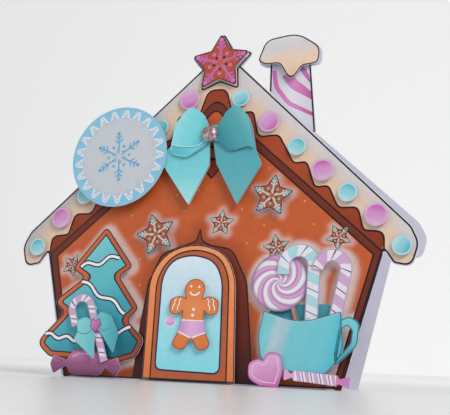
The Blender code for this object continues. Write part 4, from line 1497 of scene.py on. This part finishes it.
class CandyHouseStage(bpy.types.Operator):
    """Pale table, soft light and the camera"""

    bl_idname = "candy_house.stage"
    bl_label = "Stage"

    def execute(self, context):
        self.table()
        self.light()
        self.camera()
        return {"FINISHED"}

    def table(self):
        bpy.ops.object.select_all(action="DESELECT")
        bpy.ops.mesh.primitive_plane_add(size=3.0, location=(0.0, 0.9, 0.0))
        table = bpy.context.object
        table.name = "table"
        bpy.ops.object.mode_set(mode="EDIT")
        bpy.ops.mesh.subdivide(number_cuts=1)
        bpy.ops.object.mode_set(mode="OBJECT")
        material, tree, shader = new_material("table_white")
        finish_paper(tree, shader, srgb(228, 229, 229), 0.01, 0.32, 0.0)
        place = tree.nodes.new("ShaderNodeTexCoord")
        split = tree.nodes.new("ShaderNodeSeparateXYZ")
        # Painted glow: the table's far part emits a little light, easing in behind the card, so it
        # lightens towards the backdrop.
        far_glow = tree.nodes.new("ShaderNodeMapRange")
        far_glow.interpolation_type = "SMOOTHSTEP"
        far_glow.inputs["From Min"].default_value = -0.82
        far_glow.inputs["From Max"].default_value = -0.4
        far_glow.inputs["To Max"].default_value = 0.16
        tree.links.new(place.outputs["Object"], split.inputs[0])
        tree.links.new(split.outputs["Y"], far_glow.inputs["Value"])
        tree.links.new(far_glow.outputs["Result"], shader.inputs["Emission Strength"])
        shader.inputs["Emission Color"].default_value = (1.0, 1.0, 1.0, 1.0)
        table.data.materials.append(material)
        upright = (math.radians(90), 0.0, 0.0)
        bpy.ops.mesh.primitive_plane_add(size=6.0, location=(0.0, 2.4, 0.0), rotation=upright)
        wall = bpy.context.object
        wall.name = "backdrop"
        material, tree, shader = new_material("backdrop_grey")
        finish_paper(tree, shader, srgb(236, 236, 235), 0.01, 0.9, 0.0)
        shader.inputs["Emission Color"].default_value = (1.0, 1.0, 0.99, 1.0)
        shader.inputs["Emission Strength"].default_value = 0.37
        wall.data.materials.append(material)

    def light(self):
        self.soft_box("window", (0.9, -0.75, 1.0), 0.6, 12.5, (1.0, 0.98, 0.96))
        self.soft_box("fill", (-1.2, -1.0, 0.7), 1.4, 4.5, (0.96, 0.98, 1.0))
        world = bpy.data.worlds.new("room")
        world.use_nodes = True
        sky = world.node_tree.nodes["Background"]
        sky.inputs["Color"].default_value = (0.96, 0.97, 1.0, 1.0)
        sky.inputs["Strength"].default_value = 0.45
        bpy.context.scene.world = world
        bpy.context.scene.view_settings.view_transform = "Standard"

    def soft_box(self, name, place, size, power, colour):
        """Square area lamp that looks at the card."""
        bpy.ops.object.light_add(type="AREA", location=place)
        lamp = bpy.context.object
        lamp.name = name
        lamp.data.size = size
        lamp.data.energy = power
        lamp.data.color = colour
        lamp.rotation_euler = (LAMP_AIM - Vector(place)).to_track_quat("-Z", "Y").to_euler()

    def camera(self):
        level_way = Vector((-math.sin(CAMERA_YAW), math.cos(CAMERA_YAW), 0.0))
        forward = level_way * math.cos(CAMERA_PITCH) + Vector((0.0, 0.0, math.sin(CAMERA_PITCH)))
        level_right = Vector((math.cos(CAMERA_YAW), math.sin(CAMERA_YAW), 0.0))
        level_down = forward.cross(level_right)
        cos = math.cos(CAMERA_ROLL)
        sin = math.sin(CAMERA_ROLL)
        right = cos * level_right + sin * level_down
        down = cos * level_down - sin * level_right
        turn = Matrix((right, -down, -forward)).transposed().to_4x4()
        data = bpy.data.cameras.new("camera")
        data.sensor_width = SENSOR_WIDTH
        data.lens = SENSOR_WIDTH * FOCAL_PX / PHOTO_WIDTH_PX
        data.clip_start = 0.01
        data.clip_end = 20.0
        camera = bpy.data.objects.new("camera", data)
        bpy.context.collection.objects.link(camera)
        panel = Matrix.Translation(STAND) @ UPRIGHT
        camera.matrix_world = panel @ Matrix.Translation(CAMERA_AT * MM) @ turn
        bpy.context.scene.camera = camera


class CandyHousePanel(bpy.types.Panel):
    """Sidebar panel that lists the card's pieces"""

    bl_idname = "VIEW3D_PT_candy_house"
    bl_label = "Candy house"
    bl_space_type = "VIEW_3D"
    bl_region_type = "UI"
    bl_category = "Candy house"

    def draw(self, context):
        for group in (context.scene.candy_house_sizes, context.scene.candy_house_inks):
            for name in group.__annotations__:
                self.layout.prop(group, name)
        for maker in MAKERS:
            self.layout.operator(maker.bl_idname)


MAKERS = (
    CandyHouseCardStock,
    CandyHouseFold,
    CandyHouseFrontPrint,
    CandyHouseStars,
    CandyHouseCandies,
    CandyHouseTag,
    CandyHouseBow,
    CandyHouseDoor,
    CandyHouseTree,
    CandyHouseMug,
    CandyHouseStage,
)
CLASSES = (CandyHouseInks, CandyHouseSizes, *MAKERS, CandyHousePanel)


def register():
    for cls in CLASSES:
        bpy.utils.register_class(cls)
    bpy.types.Scene.candy_house_inks = PointerProperty(type=CandyHouseInks)
    bpy.types.Scene.candy_house_sizes = PointerProperty(type=CandyHouseSizes)


def unregister():
    del bpy.types.Scene.candy_house_sizes
    del bpy.types.Scene.candy_house_inks
    for cls in reversed(CLASSES):
        bpy.utils.unregister_class(cls)


def main():
    register()
    for maker in MAKERS:
        group, name = maker.bl_idname.split(".")
        getattr(getattr(bpy.ops, group), name)()


if __name__ == "__main__":
    main()
